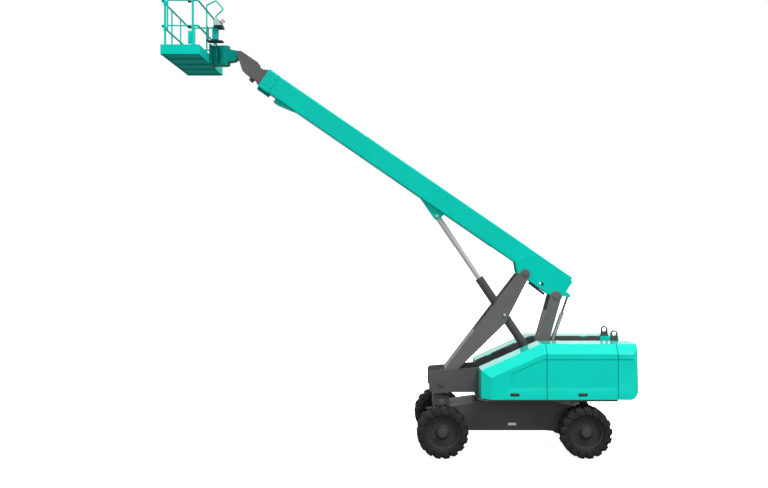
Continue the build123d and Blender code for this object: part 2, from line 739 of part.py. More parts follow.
# Rear link: two straight cheeks joined by a front cover, with stub pins at the top
link_dir = ((LINK_BASE[0] - LINK_TOP[0]) / LINK_LENGTH, (LINK_BASE[1] - LINK_TOP[1]) / LINK_LENGTH)
link_side = Plane(origin=(LINK_TOP[0], 0, LINK_TOP[1]), x_dir=(link_dir[0], 0, link_dir[1]), z_dir=(0, -1, 0))
with BuildPart() as rear_link:
    with BuildSketch(link_side):
        with Locations((LINK_LENGTH / 2, 0)):
            SlotCenterToCenter(LINK_LENGTH, 2 * LINK_HALF)
    extrude(amount=LINK_OUTER, both=True)
    with BuildSketch(link_side):
        with Locations((LINK_LENGTH / 2, 0)):
            Rectangle(2 * LINK_LENGTH, 4 * LINK_HALF)
    extrude(amount=ARM_INNER, both=True, mode=Mode.SUBTRACT)
    with BuildSketch(link_side):
        with Locations((LINK_LENGTH, 0)):
            Circle(PIN_R + 2)
    extrude(amount=LINK_OUTER, both=True, mode=Mode.SUBTRACT)
    with BuildSketch(link_side):
        with Locations(((LINK_COVER_LOW + LINK_COVER_HIGH) / 2, LINK_HALF - 4 - COVER_THICK / 2)):
            Rectangle(LINK_COVER_HIGH - LINK_COVER_LOW, COVER_THICK)
    extrude(amount=ARM_INNER, both=True)
    for side in (1, -1):
        pin_y = ARM_INNER if side > 0 else -BASE_HALF
        with BuildSketch(Plane.XZ.offset(-pin_y)):
            with Locations(LINK_TOP):
                Circle(PIN_R)
        extrude(amount=ARM_INNER - BASE_HALF)
finish(rear_link, "rear_link")

# Lift cylinder: rod pinned on the boom's lug, barrel on trunnions between the arm's cheeks
lift_axis = along(ROD_EYE, TRUNNION)
lift_span = hypot(TRUNNION[0] - ROD_EYE[0], TRUNNION[1] - ROD_EYE[1])
lift_open = lift_span - LIFT_ABOVE
with BuildPart() as lift_rod:
    with BuildSketch(Plane.XZ):
        with Locations(ROD_EYE):
            Circle(LUG_R - 5)
    extrude(amount=LUG_INNER - SEAT, both=True)
    with BuildSketch(lift_axis):
        Circle(LIFT_ROD_R)
    extrude(amount=lift_open + LIFT_INSERT)
    with BuildSketch(lift_axis.offset(lift_open + LIFT_INSERT - 60)):
        Circle(LIFT_BORE_R - SEAT)
    extrude(amount=60)
    with BuildSketch(Plane.XZ):
        with Locations(ROD_EYE):
            Circle(PIN_R + SEAT)
    extrude(amount=LUG_INNER, both=True, mode=Mode.SUBTRACT)
finish(lift_rod, "lift_rod")

with BuildPart() as lift_barrel:
    with BuildSketch(lift_axis.offset(lift_open)):
        Circle(LIFT_BARREL_R)
    extrude(amount=LIFT_ABOVE + LIFT_BELOW)
    with BuildSketch(Plane.XZ):
        with Locations(TRUNNION):
            Circle(TRUNNION_R)
    extrude(amount=ARM_INNER - RUN, both=True)
    with BuildSketch(lift_axis.offset(lift_open)):
        Circle(LIFT_ROD_R + SEAT)
    extrude(amount=GLAND, mode=Mode.SUBTRACT)
    with BuildSketch(lift_axis.offset(lift_open + GLAND)):
        Circle(LIFT_BORE_R)
    extrude(amount=LIFT_ABOVE + LIFT_BELOW - GLAND - END_CAP, mode=Mode.SUBTRACT)
finish(lift_barrel, "lift_barrel")

# Levelling cylinder behind the rear link: rod pinned at the boom's tail
level_axis = along(TAIL_EYE, LEVEL_BASE)
level_axis.origin = (TAIL_EYE[0], LEVEL_Y, TAIL_EYE[1])
level_span = hypot(LEVEL_BASE[0] - TAIL_EYE[0], LEVEL_BASE[1] - TAIL_EYE[1])
with BuildPart() as level_rod:
    with BuildSketch(Plane.XZ.offset(-LEVEL_Y)):
        with Locations(TAIL_EYE):
            Circle(LEVEL_EYE_R)
    extrude(amount=LEVEL_EYE_HALF, both=True)
    with BuildSketch(level_axis):
        Circle(LEVEL_ROD_R)
    extrude(amount=LEVEL_EXPOSED + LEVEL_INSERT)
    with BuildSketch(level_axis.offset(LEVEL_EXPOSED + LEVEL_INSERT - 40)):
        Circle(LEVEL_BORE_R - SEAT)
    extrude(amount=40)
    with BuildSketch(Plane.XZ.offset(-LEVEL_Y)):
        with Locations(TAIL_EYE):
            Circle(LEVEL_PIN_R + SEAT)
    extrude(amount=LEVEL_EYE_HALF, both=True, mode=Mode.SUBTRACT)
finish(level_rod, "level_rod")

with BuildPart() as level_barrel:
    with BuildSketch(level_axis.offset(LEVEL_EXPOSED)):
        Circle(LEVEL_BARREL_R)
    extrude(amount=level_span - LEVEL_EXPOSED)
    with BuildSketch(Plane.XZ.offset(-LEVEL_Y)):
        with Locations(LEVEL_BASE):
            Circle(LEVEL_EYE_R)
    extrude(amount=LEVEL_EYE_HALF, both=True)
    with BuildSketch(level_axis.offset(LEVEL_EXPOSED)):
        Circle(LEVEL_ROD_R + SEAT)
    extrude(amount=GLAND / 2, mode=Mode.SUBTRACT)
    with BuildSketch(level_axis.offset(LEVEL_EXPOSED + GLAND / 2)):
        Circle(LEVEL_BORE_R)
    extrude(amount=level_span - LEVEL_EXPOSED - GLAND / 2 - 100, mode=Mode.SUBTRACT)
    with BuildSketch(Plane.XZ.offset(-LEVEL_Y)):
        with Locations(LEVEL_BASE):
            Circle(LEVEL_PIN_R)
    extrude(amount=LEVEL_EYE_HALF, both=True, mode=Mode.SUBTRACT)
finish(level_barrel, "level_barrel")

# Boom sections: box tubes nested in each other, each with pads where it slides
section_names = list(SECTIONS)
section_v = BOOM_LOW + SECTIONS["boom_base"][1] / 2
for rank, name in enumerate(section_names):
    width, height, wall = SECTIONS[name]
    tail = BOOM_TAIL + TUBE_SET + rank * NEST_STEP
    tip = BOOM_TIP + rank * TIP_STEP
    with BuildPart() as section:
        with BuildSketch(boom_section(tail, section_v)):
            RectangleRounded(width, height, SECTION_CORNER)
            RectangleRounded(width - 2 * wall, height - 2 * wall, SECTION_CORNER - wall, mode=Mode.SUBTRACT)
        extrude(amount=tip - tail)
        if rank < 2:
            # Front pads, fixed in this tube's mouth around the next one
            next_width, next_height, next_wall = SECTIONS[section_names[rank + 1]]
            with BuildSketch(boom_section(tip - PAD_LENGTH, section_v)):
                Rectangle(width - wall, next_height / 2)
                Rectangle(next_width / 2, height - wall)
                Rectangle(next_width + 2 * SEAT, next_height + 2 * SEAT, mode=Mode.SUBTRACT)
            extrude(amount=PAD_LENGTH)
        if rank > 0:
            # Tail pads, carried on this tube inside the one around it
            last_width, last_height, last_wall = SECTIONS[section_names[rank - 1]]
            with BuildSketch(boom_section(tail, section_v)):
                Rectangle(last_width - 2 * last_wall - 2 * SEAT, height / 2)
                Rectangle(width / 2, last_height - 2 * last_wall - 2 * SEAT)
                Rectangle(width - wall, height - wall, mode=Mode.SUBTRACT)
            extrude(amount=PAD_LENGTH)
        if name == "boom_base":
            with BuildSketch(boom_section(tip - COLLAR_LENGTH, section_v)):
                RectangleRounded(width + 2 * COLLAR_PROUD, height + 2 * COLLAR_PROUD, SECTION_CORNER)
                Rectangle(width - wall, height - wall, mode=Mode.SUBTRACT)
            extrude(amount=COLLAR_LENGTH)
            with BuildSketch(boom_side):
                with Locations((tip - COLLAR_LENGTH / 2, BOOM_LOW - COLLAR_BLOCK / 2 + wall / 2)):
                    Rectangle(COLLAR_LENGTH, COLLAR_BLOCK + wall)
                with BuildLine():
                    Polyline(
                        (GUSSET_START, BOOM_LOW + wall / 2),
                        (GUSSET_START + GUSSET_LENGTH, BOOM_LOW + wall / 2),
                        (GUSSET_START + GUSSET_LENGTH, BOOM_LOW - GUSSET_DEPTH),
                        (GUSSET_START + GUSSET_LENGTH * 0.8, BOOM_LOW - GUSSET_DEPTH),
                        close=True,
                    )
                make_face()
            extrude(amount=GUSSET_WIDTH / 2, both=True)
            for side in (1, -1):
                plate_y = BASE_OUTER if side > 0 else -BASE_HALF
                with BuildSketch(boom_side.offset(-plate_y)):
                    with BuildLine():
                        Polyline(
                            (PLATE_FRONT, BOOM_LOW + 30),
                            (PLATE_TOE, PLATE_LOW),
                            (u_link + 60, PLATE_LOW),
                            (BOOM_TAIL, v_link),
                            (BOOM_TAIL, BOOM_LOW + height - PLATE_DROP),
                            (PLATE_FRONT - 200, BOOM_LOW + height - PLATE_DROP),
                            close=True,
                        )
                    make_face()
                    with Locations((u_tail, v_tail)):
                        Circle(LEVEL_EYE_R)
                    with Locations(((u_tail + BOOM_TAIL) / 2, v_tail)):
                        Rectangle(BOOM_TAIL - u_tail, 2 * LEVEL_EYE_R)
                    with Locations((0, 0), (u_link, v_link)):
                        Circle(PIN_R + SEAT, mode=Mode.SUBTRACT)
                    with Locations((u_link + 390, BOOM_LOW - 46)):
                        SlotOverall(110, 50, mode=Mode.SUBTRACT)
                extrude(amount=BASE_PLATE)
                lug_y = LUG_INNER + LUG_THICK if side > 0 else -LUG_INNER
                with BuildSketch(boom_side.offset(-lug_y)):
                    with BuildLine():
                        Polyline(
                            (u_eye + 525, BOOM_LOW + wall / 2),
                            (u_eye + 40, v_eye - LUG_R + 10),
                            (u_eye - LUG_R, v_eye),
                            (u_eye - 100, BOOM_LOW + wall / 2),
                            close=True,
                        )
                    make_face()
                    with Locations((u_eye, v_eye)):
                        Circle(LUG_R)
                extrude(amount=LUG_THICK)
            with BuildSketch(Plane.XZ):
                with Locations(ROD_EYE):
                    Circle(PIN_R)
            extrude(amount=LUG_INNER + LUG_THICK + 12, both=True)
            with BuildSketch(Plane.XZ.offset(-BASE_OUTER)):
                with Locations(TAIL_EYE):
                    Circle(LEVEL_PIN_R)
            extrude(amount=BASE_OUTER - LEVEL_Y + LEVEL_EYE_HALF)
        if name == "boom_fly":
            # Gooseneck: two plates that carry the platform's levelling pivot
            pivot_u, pivot_v = LEVEL_PIVOT
            for side in (1, -1):
                neck_y = width / 2 if side > 0 else NECK_THICK - width / 2
                with BuildSketch(boom_side.offset(-neck_y)):
                    with BuildLine():
                        Polyline(
                            (tip - 60, section_v - height / 2 + 20),
                            (tip - 60, section_v + height / 2 - 20),
                            (tip + 110, section_v + height / 2 - 30),
                            (tip + 175, pivot_v + NECK_R),
                            (pivot_u, pivot_v + NECK_R),
                            (pivot_u + NECK_R * 0.7, pivot_v - NECK_R * 0.7),
                            (tip + 350, section_v - height / 2 + 30),
                            (tip + 200, section_v - height / 2 + 20),
                            close=True,
                        )
                    make_face()
                    with Locations(LEVEL_PIVOT):
                        Circle(NECK_R)
                extrude(amount=NECK_THICK)
            with BuildSketch(boom_side):
                with Locations(LEVEL_PIVOT):
                    Circle(HEAD_PIN_R)
            extrude(amount=width / 2, both=True)
    finish(section, name)

# Levelling head: tongue between the gooseneck's plates, with the upright rotator housing
pivot_x, pivot_y, pivot_z = boom_point(*LEVEL_PIVOT)
head_half = SECTIONS["boom_fly"][0] / 2 - NECK_THICK - RUN
with BuildPart() as level_head:
    with BuildSketch(Plane.XZ):
        with BuildLine():
            Polyline(
                (pivot_x, pivot_z + NECK_R - 5),
                (ROTATOR_X, ROTATOR_HIGH - 20),
                (ROTATOR_X, ROTATOR_LOW + 20),
                (pivot_x + 120, ROTATOR_LOW + 60),
                (pivot_x, pivot_z - NECK_R + 5),
                close=True,
            )
        make_face()
        with Locations((pivot_x, pivot_z)):
            Circle(NECK_R - 5)
    extrude(amount=head_half, both=True)
    with BuildSketch(Plane.XY.offset(ROTATOR_LOW)):
        with Locations((ROTATOR_X, 0)):
            Circle(ROTATOR_R)
    extrude(amount=ROTATOR_HIGH - ROTATOR_LOW)
    with BuildSketch(Plane.XZ):
        with Locations((pivot_x, pivot_z)):
            Circle(HEAD_PIN_R + SEAT)
    extrude(amount=head_half, both=True, mode=Mode.SUBTRACT)
finish(level_head, "level_head")

# Platform support: flanges above and below the rotator on an upright plate
with BuildPart() as platform_support:
    for low in (ROTATOR_LOW - FLANGE - SEAT, ROTATOR_HIGH + SEAT):
        with BuildSketch(Plane.XY.offset(low)):
            with Locations((ROTATOR_X, 0)):
                Circle(ROTATOR_R)
            with Locations(((ROTATOR_X + PLATFORM_REAR) / 2, 0)):
                Rectangle(PLATFORM_REAR - ROTATOR_X - 2 * SEAT, 1.6 * ROTATOR_R)
        extrude(amount=FLANGE)
    with BuildSketch(Plane.YZ.offset(PLATFORM_REAR - SUPPORT_THICK - SEAT)):
        with Locations((0, (ROTATOR_LOW + ROTATOR_HIGH) / 2)):
            RectangleRounded(SUPPORT_WIDTH, ROTATOR_HIGH - ROTATOR_LOW + 2 * FLANGE + 2 * SEAT, 20)
    extrude(amount=SUPPORT_THICK)
finish(platform_support, "platform_support")

# Platform floor: toe boards around a floor plate on cross bearers
platform_mid = (PLATFORM_REAR + PLATFORM_FRONT) / 2
platform_depth = PLATFORM_FRONT - PLATFORM_REAR
with BuildPart() as platform_floor:
    with BuildSketch(Plane.XY.offset(FLOOR_LOW)):
        with Locations((platform_mid, 0)):
            RectangleRounded(platform_depth, 2 * PLATFORM_HALF, TOE_CORNER)
            RectangleRounded(
                platform_depth - 2 * TOE_THICK,
                2 * (PLATFORM_HALF - TOE_THICK),
                TOE_CORNER - TOE_THICK,
                mode=Mode.SUBTRACT,
            )
    extrude(amount=TOE_TOP - FLOOR_LOW)
    with BuildSketch(Plane.XY.offset(floor_top - FLOOR_THICK)):
        with Locations((platform_mid, 0)):
            RectangleRounded(platform_depth - TOE_THICK, 2 * PLATFORM_HALF - TOE_THICK, TOE_CORNER)
    extrude(amount=FLOOR_THICK)
    with BuildSketch(Plane.XY.offset(FLOOR_LOW)):
        with Locations((platform_mid, 0)):
            with GridLocations(1, (2 * PLATFORM_HALF - 120) / (BEARERS - 1), 1, BEARERS):
                Rectangle(platform_depth - TOE_THICK, 40)
    extrude(amount=floor_top - FLOOR_THICK - FLOOR_LOW)
finish(platform_floor, "platform_floor")

# Guard rails: top and mid rails with posts, and the bent hoop above the console
rail_inset = TOE_THICK + SEAT + GATE_POST_R
rail_rear = PLATFORM_REAR + rail_inset
rail_front = PLATFORM_FRONT - rail_inset
rail_half = PLATFORM_HALF - rail_inset
posts = [
    # X, Y, radius, height above the top rail's axis
    (GATE_REAR, rail_half, GATE_POST_R, GATE_POST_R),
    (GATE_FRONT, rail_half, GATE_POST_R, GATE_POST_R),
    (GATE_REAR, -rail_half, POST_R, 0),
    (GATE_FRONT - 60, -rail_half, POST_R, 0),
    (rail_front, HOOP_Y, POST_R, 0),
    (rail_front, -HOOP_Y, POST_R, 0),
    (rail_rear, -HOOP_Y, POST_R, 0),
]
with BuildPart() as platform_rails:
    for z in (RAIL_MID, RAIL_TOP):
        with BuildLine(Plane.XY.offset(z)) as rail_path:
            FilletPolyline(
                (GATE_REAR, rail_half),
                (rail_rear, rail_half),
                (rail_rear, -rail_half),
                (rail_front, -rail_half),
                (rail_front, rail_half),
                (GATE_FRONT, rail_half),
                radius=RAIL_BEND,
            )
        with BuildSketch(Plane(origin=rail_path.line @ 0, z_dir=rail_path.line % 0)):
            Circle(RAIL_R)
        sweep(path=rail_path.wire())
    for post_x, post_y, radius, above in posts:
        with BuildSketch(Plane.XY.offset(floor_top + SEAT)):
            with Locations((post_x, post_y)):
                Circle(radius)
        extrude(amount=RAIL_TOP + above - floor_top - SEAT)
    with BuildLine(Plane.XZ.offset(-HOOP_Y)) as hoop_path:
        FilletPolyline(
            (rail_rear, floor_top + SEAT),
            (rail_rear, RAIL_TOP + 110),
            (rail_rear - 195, RAIL_TOP + 205),
            (rail_rear - 345, RAIL_TOP + 25),
            (rail_rear - 195, RAIL_TOP - 115),
            (rail_rear - 195, CONSOLE_TOP + SEAT),
            radius=RAIL_BEND,
        )
    with BuildSketch(Plane(origin=hoop_path.line @ 0, z_dir=hoop_path.line % 0)):
        Circle(POST_R)
    sweep(path=hoop_path.wire())
finish(platform_rails, "platform_rails")

# Gate: two bars on an upright in the near end, hung on the front post and swinging inwards
gate_stile = GATE_FRONT - GATE_POST_R - GATE_TUBE_R - SEAM
gate_end = GATE_REAR + GATE_POST_R + SEAM
gate_low = RAIL_MID - GATE_SLEEVE_DROP - GATE_SLEEVE / 2
with BuildPart() as gate:
    with BuildSketch(Plane.XY.offset(gate_low)):
        with Locations((gate_stile, rail_half)):
            Circle(GATE_TUBE_R)
    extrude(amount=RAIL_TOP + GATE_TUBE_R - gate_low)
    with BuildSketch(Plane.YZ.offset(gate_end)):
        with Locations((rail_half, RAIL_MID), (rail_half, RAIL_TOP)):
            Circle(GATE_BAR_R)
    extrude(amount=gate_stile - gate_end)
    for rail_z in (RAIL_MID, RAIL_TOP):
        with BuildSketch(Plane.XY.offset(rail_z - GATE_SLEEVE_DROP - GATE_SLEEVE / 2)):
            with Locations((GATE_FRONT, rail_half)):
                Circle(GATE_POST_R + GATE_SLEEVE_WALL)
            with Locations(((GATE_FRONT + gate_stile) / 2, rail_half)):
                Rectangle(GATE_FRONT - gate_stile, GATE_TUBE_R)
            with Locations((GATE_FRONT, rail_half)):
                Circle(GATE_POST_R + SEAT, mode=Mode.SUBTRACT)
        extrude(amount=GATE_SLEEVE)
finish(gate, "gate")

# Control console: a sloped box on a column, on a bracket behind the rear rails
console_front = rail_rear - CONSOLE_OUT
console_back = console_front - CONSOLE_LENGTH
console_low = CONSOLE_TOP - CONSOLE_DEPTH
bracket_x = rail_rear - RAIL_R - SEAT - BRACKET_THICK
bracket_low = floor_top + BRACKET_LOW
with BuildPart() as console:
    with BuildSketch(Plane.XZ.offset(-(HOOP_Y + CONSOLE_WIDTH / 2))):
        with BuildLine():
            Polyline(
                (console_front, console_low),
                (console_front, CONSOLE_TOP),
                (console_front - CONSOLE_FLAT, CONSOLE_TOP),
                (console_back, console_low + CONSOLE_LIP),
                (console_back, console_low),
                close=True,
            )
        make_face()
    extrude(amount=CONSOLE_WIDTH)
    with BuildSketch(Plane.XY.offset(bracket_low)):
        with Locations((console_front - COLUMN_LENGTH / 2 + CONSOLE_FLAT, HOOP_Y)):
            RectangleRounded(COLUMN_LENGTH, COLUMN_WIDTH, BRACKET_THICK)
    extrude(amount=console_low - bracket_low + BRACKET_THICK)
    with BuildSketch(Plane.XY.offset(bracket_low)):
        with Locations(((console_back + bracket_x + BRACKET_THICK) / 2, HOOP_Y)):
            RectangleRounded(bracket_x + BRACKET_THICK - console_back, CONSOLE_WIDTH - 60, BRACKET_THICK)
    extrude(amount=BRACKET_THICK)
    with BuildSketch(Plane.YZ.offset(bracket_x)):
        with Locations((HOOP_Y, (bracket_low + RAIL_MID + COLUMN_WIDTH) / 2)):
            Rectangle(COLUMN_WIDTH, RAIL_MID + COLUMN_WIDTH - bracket_low)
    extrude(amount=BRACKET_THICK)
finish(console, "console")
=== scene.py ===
from math import atan2, cos, degrees, pi, radians, sin, tau

import bmesh
import bpy
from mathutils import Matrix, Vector


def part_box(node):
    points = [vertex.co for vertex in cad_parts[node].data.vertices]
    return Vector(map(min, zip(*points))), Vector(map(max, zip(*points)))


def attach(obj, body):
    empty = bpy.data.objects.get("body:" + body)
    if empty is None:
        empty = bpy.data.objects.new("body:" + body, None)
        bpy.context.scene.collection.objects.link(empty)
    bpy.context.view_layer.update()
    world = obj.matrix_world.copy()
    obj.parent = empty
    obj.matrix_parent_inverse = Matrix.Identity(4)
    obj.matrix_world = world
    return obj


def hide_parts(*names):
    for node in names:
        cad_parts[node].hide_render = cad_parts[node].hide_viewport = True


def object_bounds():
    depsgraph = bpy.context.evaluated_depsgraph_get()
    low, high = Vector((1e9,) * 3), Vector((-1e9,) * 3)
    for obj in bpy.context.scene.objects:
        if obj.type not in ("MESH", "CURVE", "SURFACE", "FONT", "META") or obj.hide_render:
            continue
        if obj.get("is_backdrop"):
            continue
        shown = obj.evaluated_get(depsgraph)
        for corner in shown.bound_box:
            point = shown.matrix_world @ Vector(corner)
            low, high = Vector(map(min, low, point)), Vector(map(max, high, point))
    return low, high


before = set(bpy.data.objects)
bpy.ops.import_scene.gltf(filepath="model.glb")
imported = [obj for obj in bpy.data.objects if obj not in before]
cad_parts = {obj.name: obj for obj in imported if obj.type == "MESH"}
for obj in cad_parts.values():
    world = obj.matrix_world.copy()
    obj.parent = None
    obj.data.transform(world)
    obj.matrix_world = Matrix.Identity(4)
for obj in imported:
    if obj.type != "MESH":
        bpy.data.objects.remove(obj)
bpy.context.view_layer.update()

# Tyres: heavy solid-filled rubber, moulded with deep shoulder bars that wrap down the sidewall.
# Each carcass is turned from a drum, and one bar is shaped and stepped round it, the two
# shoulders half a pitch apart.
LUGS_PER_SHOULDER = 17
LUG_DEPTH = 0.036
LUG_WIDTH = 0.104
LUG_SLANT = 8
LUG_START = 0.010
LUG_PAST_EDGE = 0.002
LUG_LOW = 0.003
LUG_WRAP = ((0, 0.018, -0.052), (0, 0.006, -0.036))
LUG_ROUND = 0.007
TREAD_ANGLE = 32
SIDEWALL_STEPS = (
    # inward, outward
    (0.052, 0.026),
    (0.030, 0.004),
    (0.035, -0.010),
    (0.030, -0.030),
)


def clean_slate():
    """Leave edit mode and deselect everything, so that operators act on the next piece alone."""
    if bpy.context.mode != "OBJECT":
        bpy.ops.object.mode_set(mode="OBJECT")
    bpy.ops.object.select_all(action="DESELECT")


def start_editing(select_by):
    """Enter edit mode on the active piece, picking by vertex, edge or face."""
    bpy.ops.object.mode_set(mode="EDIT")
    bpy.ops.mesh.select_mode(type=select_by)


def pick_faces(wanted):
    """Select only the faces whose centre and normal are wanted."""
    bpy.ops.mesh.select_all(action="DESELECT")
    mesh = bpy.context.edit_object.data
    shape = bmesh.from_edit_mesh(mesh)
    for face in shape.faces:
        face.select_set(wanted(face.calc_center_median(), face.normal))
    bmesh.update_edit_mesh(mesh)


def settle(piece_name):
    """Apply the active piece's placing, so that it sits at the origin, and name it."""
    bpy.ops.object.mode_set(mode="OBJECT")
    bpy.ops.object.transform_apply(location=True, rotation=True, scale=True)
    piece = bpy.context.object
    piece.name = piece_name
    piece.data.name = piece_name
    return piece


def smooth(piece, angle):
    """Shade a piece smooth, apart from edges sharper than the angle."""
    clean_slate()
    piece.select_set(True)
    bpy.context.view_layer.objects.active = piece
    bpy.ops.object.shade_smooth_by_angle(angle=radians(angle))


def step_round(count, centre, axis):
    """Copy the selected mesh evenly round an axis, the first one counted."""
    bpy.ops.mesh.spin(
        steps=count - 1, dupli=True, angle=tau * (count - 1) / count, center=centre, axis=axis
    )


def surface(name, roughness, metallic=0.0):
    """A new material, with its node tree, shader and Object coordinates."""
    material = bpy.data.materials.new(name)
    material.use_nodes = True
    tree = material.node_tree
    shader = tree.nodes["Principled BSDF"]
    shader.inputs["Roughness"].default_value = roughness
    shader.inputs["Metallic"].default_value = metallic
    coords = tree.nodes.new("ShaderNodeTexCoord").outputs["Object"]
    return material, tree, shader, coords


def noise(tree, coords, scale, detail):
    """Cloudy noise at a scale in features per metre."""
    node = tree.nodes.new("ShaderNodeTexNoise")
    node.inputs["Scale"].default_value = scale
    node.inputs["Detail"].default_value = detail
    tree.links.new(coords, node.inputs["Vector"])
    return node.outputs["Fac"]


def spread(tree, value, low, high, to_low, to_high):
    """Stretch a value from one range to another."""
    node = tree.nodes.new("ShaderNodeMapRange")
    ends = {"From Min": low, "From Max": high, "To Min": to_low, "To Max": to_high}
    for socket, number in ends.items():
        node.inputs[socket].default_value = number
    tree.links.new(value, node.inputs["Value"])
    return node.outputs["Result"]


def blend_colours(tree, share, first, second):
    """Mix two colours by a share that varies over the surface."""
    node = tree.nodes.new("ShaderNodeMix")
    node.data_type = "RGBA"
    tree.links.new(share, node.inputs["Factor"])
    for socket, colour in ((node.inputs[6], first), (node.inputs[7], second)):
        if isinstance(colour, tuple):
            socket.default_value = (*colour, 1)
        else:
            tree.links.new(colour, socket)
    return node.outputs[2]


def relief(tree, shader, height, strength, distance, edge_radius):
    """Bump from a height, over edges rounded by a small radius."""
    bevel = tree.nodes.new("ShaderNodeBevel")
    bevel.samples = 4
    bevel.inputs["Radius"].default_value = edge_radius
    bump = tree.nodes.new("ShaderNodeBump")
    bump.inputs["Strength"].default_value = strength
    bump.inputs["Distance"].default_value = distance
    tree.links.new(height, bump.inputs["Height"])
    tree.links.new(bevel.outputs["Normal"], bump.inputs["Normal"])
    tree.links.new(bump.outputs["Normal"], shader.inputs["Normal"])


def tyre_rubber():
    """Dull black rubber with a dusty bloom, a fine moulded grain and painted shade in the gaps
    between the bars.
    """
    material, tree, shader, coords = surface("tyre_rubber", 0.75)
    shader.inputs["Specular IOR Level"].default_value = 0.2
    bloom = spread(tree, noise(tree, coords, 7, 5), 0.35, 0.7, 0, 1)
    rubber_tone = blend_colours(tree, bloom, (0.014, 0.014, 0.015), (0.024, 0.023, 0.023))
    # Painted shade: ambient occlusion darkens the rubber towards black in the gaps between the
    # bars.
    painted_gap_shade = tree.nodes.new("ShaderNodeAmbientOcclusion")
    painted_gap_shade.samples = 6
    painted_gap_shade.inputs["Distance"].default_value = 0.07
    unshaded_share = spread(tree, painted_gap_shade.outputs["AO"], 0.35, 0.85, 0, 1)
    colour = blend_colours(tree, unshaded_share, (0.003, 0.003, 0.003), rubber_tone)
    tree.links.new(colour, shader.inputs["Base Color"])
    relief(tree, shader, noise(tree, coords, 160, 3), 0.25, 0.002, 0.004)
    return material


rubber = tyre_rubber()
hub_low, hub_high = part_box("tyre_front_left")
hub = (hub_low + hub_high) / 2
tyre_radius = (hub_high.z - hub_low.z) / 2
tyre_width = hub_high.y - hub_low.y
carcass_radius = tyre_radius - LUG_DEPTH
tread_width = tyre_width - 2 * sum(step[1] for step in SIDEWALL_STEPS[:2])

clean_slate()
bpy.ops.mesh.primitive_cylinder_add(
    vertices=6 * LUGS_PER_SHOULDER, radius=carcass_radius, depth=tread_width, location=hub,
    rotation=(pi / 2, 0, 0),
)
bpy.ops.object.transform_apply(location=True, rotation=True, scale=True)
start_editing("FACE")
for side in (1, -1):
    pick_faces(lambda centre, normal: normal.y * side > 0.9)
    for inward, outward in SIDEWALL_STEPS:
        bpy.ops.mesh.inset(thickness=inward, depth=outward)
pick_faces(lambda centre, normal: abs(normal.y) > 0.99 and (centre - hub).xz.length < 0.01)
bpy.ops.mesh.delete(type="FACE")
bpy.ops.mesh.select_mode(type="EDGE")
bpy.ops.mesh.select_all(action="DESELECT")
bpy.ops.mesh.select_non_manifold()
bpy.ops.mesh.bridge_edge_loops()
carcass = settle("carcass")

clean_slate()
lug_length = tread_width / 2 + LUG_PAST_EDGE
lug_root = carcass_radius - LUG_DEPTH
lug_height = tyre_radius - LUG_LOW - lug_root
lug_mid = hub + Vector((0, LUG_START + lug_length / 2, lug_root + lug_height / 2))
bpy.ops.mesh.primitive_cube_add(size=1, location=lug_mid, scale=(LUG_WIDTH, lug_length, lug_height))
bpy.ops.object.transform_apply(location=True, rotation=True, scale=True)
start_editing("FACE")
pick_faces(lambda centre, normal: normal.y > 0.9)
for step in LUG_WRAP:
    bpy.ops.mesh.extrude_region_move(TRANSFORM_OT_translate={"value": step})
pick_faces(lambda centre, normal: normal.y < -0.9)
bpy.ops.transform.rotate(value=radians(LUG_SLANT), orient_axis="Y", center_override=hub)
bpy.ops.mesh.select_all(action="SELECT")
bpy.ops.mesh.bevel(offset=LUG_ROUND, segments=2, affect="EDGES")
bpy.ops.mesh.select_all(action="SELECT")
step_round(LUGS_PER_SHOULDER, hub, (0, 1, 0))
near_lugs = settle("near_lugs")
far_lugs = near_lugs.copy()
far_lugs.data = near_lugs.data.copy()
bpy.context.collection.objects.link(far_lugs)
clean_slate()
far_lugs.select_set(True)
bpy.context.view_layer.objects.active = far_lugs
start_editing("FACE")
bpy.ops.mesh.select_all(action="SELECT")
bpy.ops.transform.mirror(constraint_axis=(False, True, False), center_override=hub)
bpy.ops.transform.rotate(value=pi / LUGS_PER_SHOULDER, orient_axis="Y", center_override=hub)
bpy.ops.mesh.normals_make_consistent(inside=False)
bpy.ops.object.mode_set(mode="OBJECT")
for piece in (carcass, near_lugs, far_lugs):
    piece.select_set(True)
bpy.context.view_layer.objects.active = carcass
bpy.ops.object.join()
tread = settle("tread_front_left")
tread.data.materials.append(rubber)
smooth(tread, TREAD_ANGLE)


def copy_to(piece, piece_name, shift):
    """A copy of a finished piece, with its own mesh, moved by a shift."""
    clean_slate()
    twin = piece.copy()
    twin.data = piece.data.copy()
    bpy.context.collection.objects.link(twin)
    twin.location = shift
    twin.select_set(True)
    bpy.context.view_layer.objects.active = twin
    return settle(piece_name)


WHEELS = ("front_left", "front_right", "rear_left", "rear_right")
for wheel in WHEELS:
    low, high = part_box(f"tyre_{wheel}")
    shift = (low + high) / 2 - hub
    piece = tread if wheel == "front_left" else copy_to(tread, f"tread_{wheel}", shift)
    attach(piece, f"wheel_{wheel}")
    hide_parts(f"tyre_{wheel}")
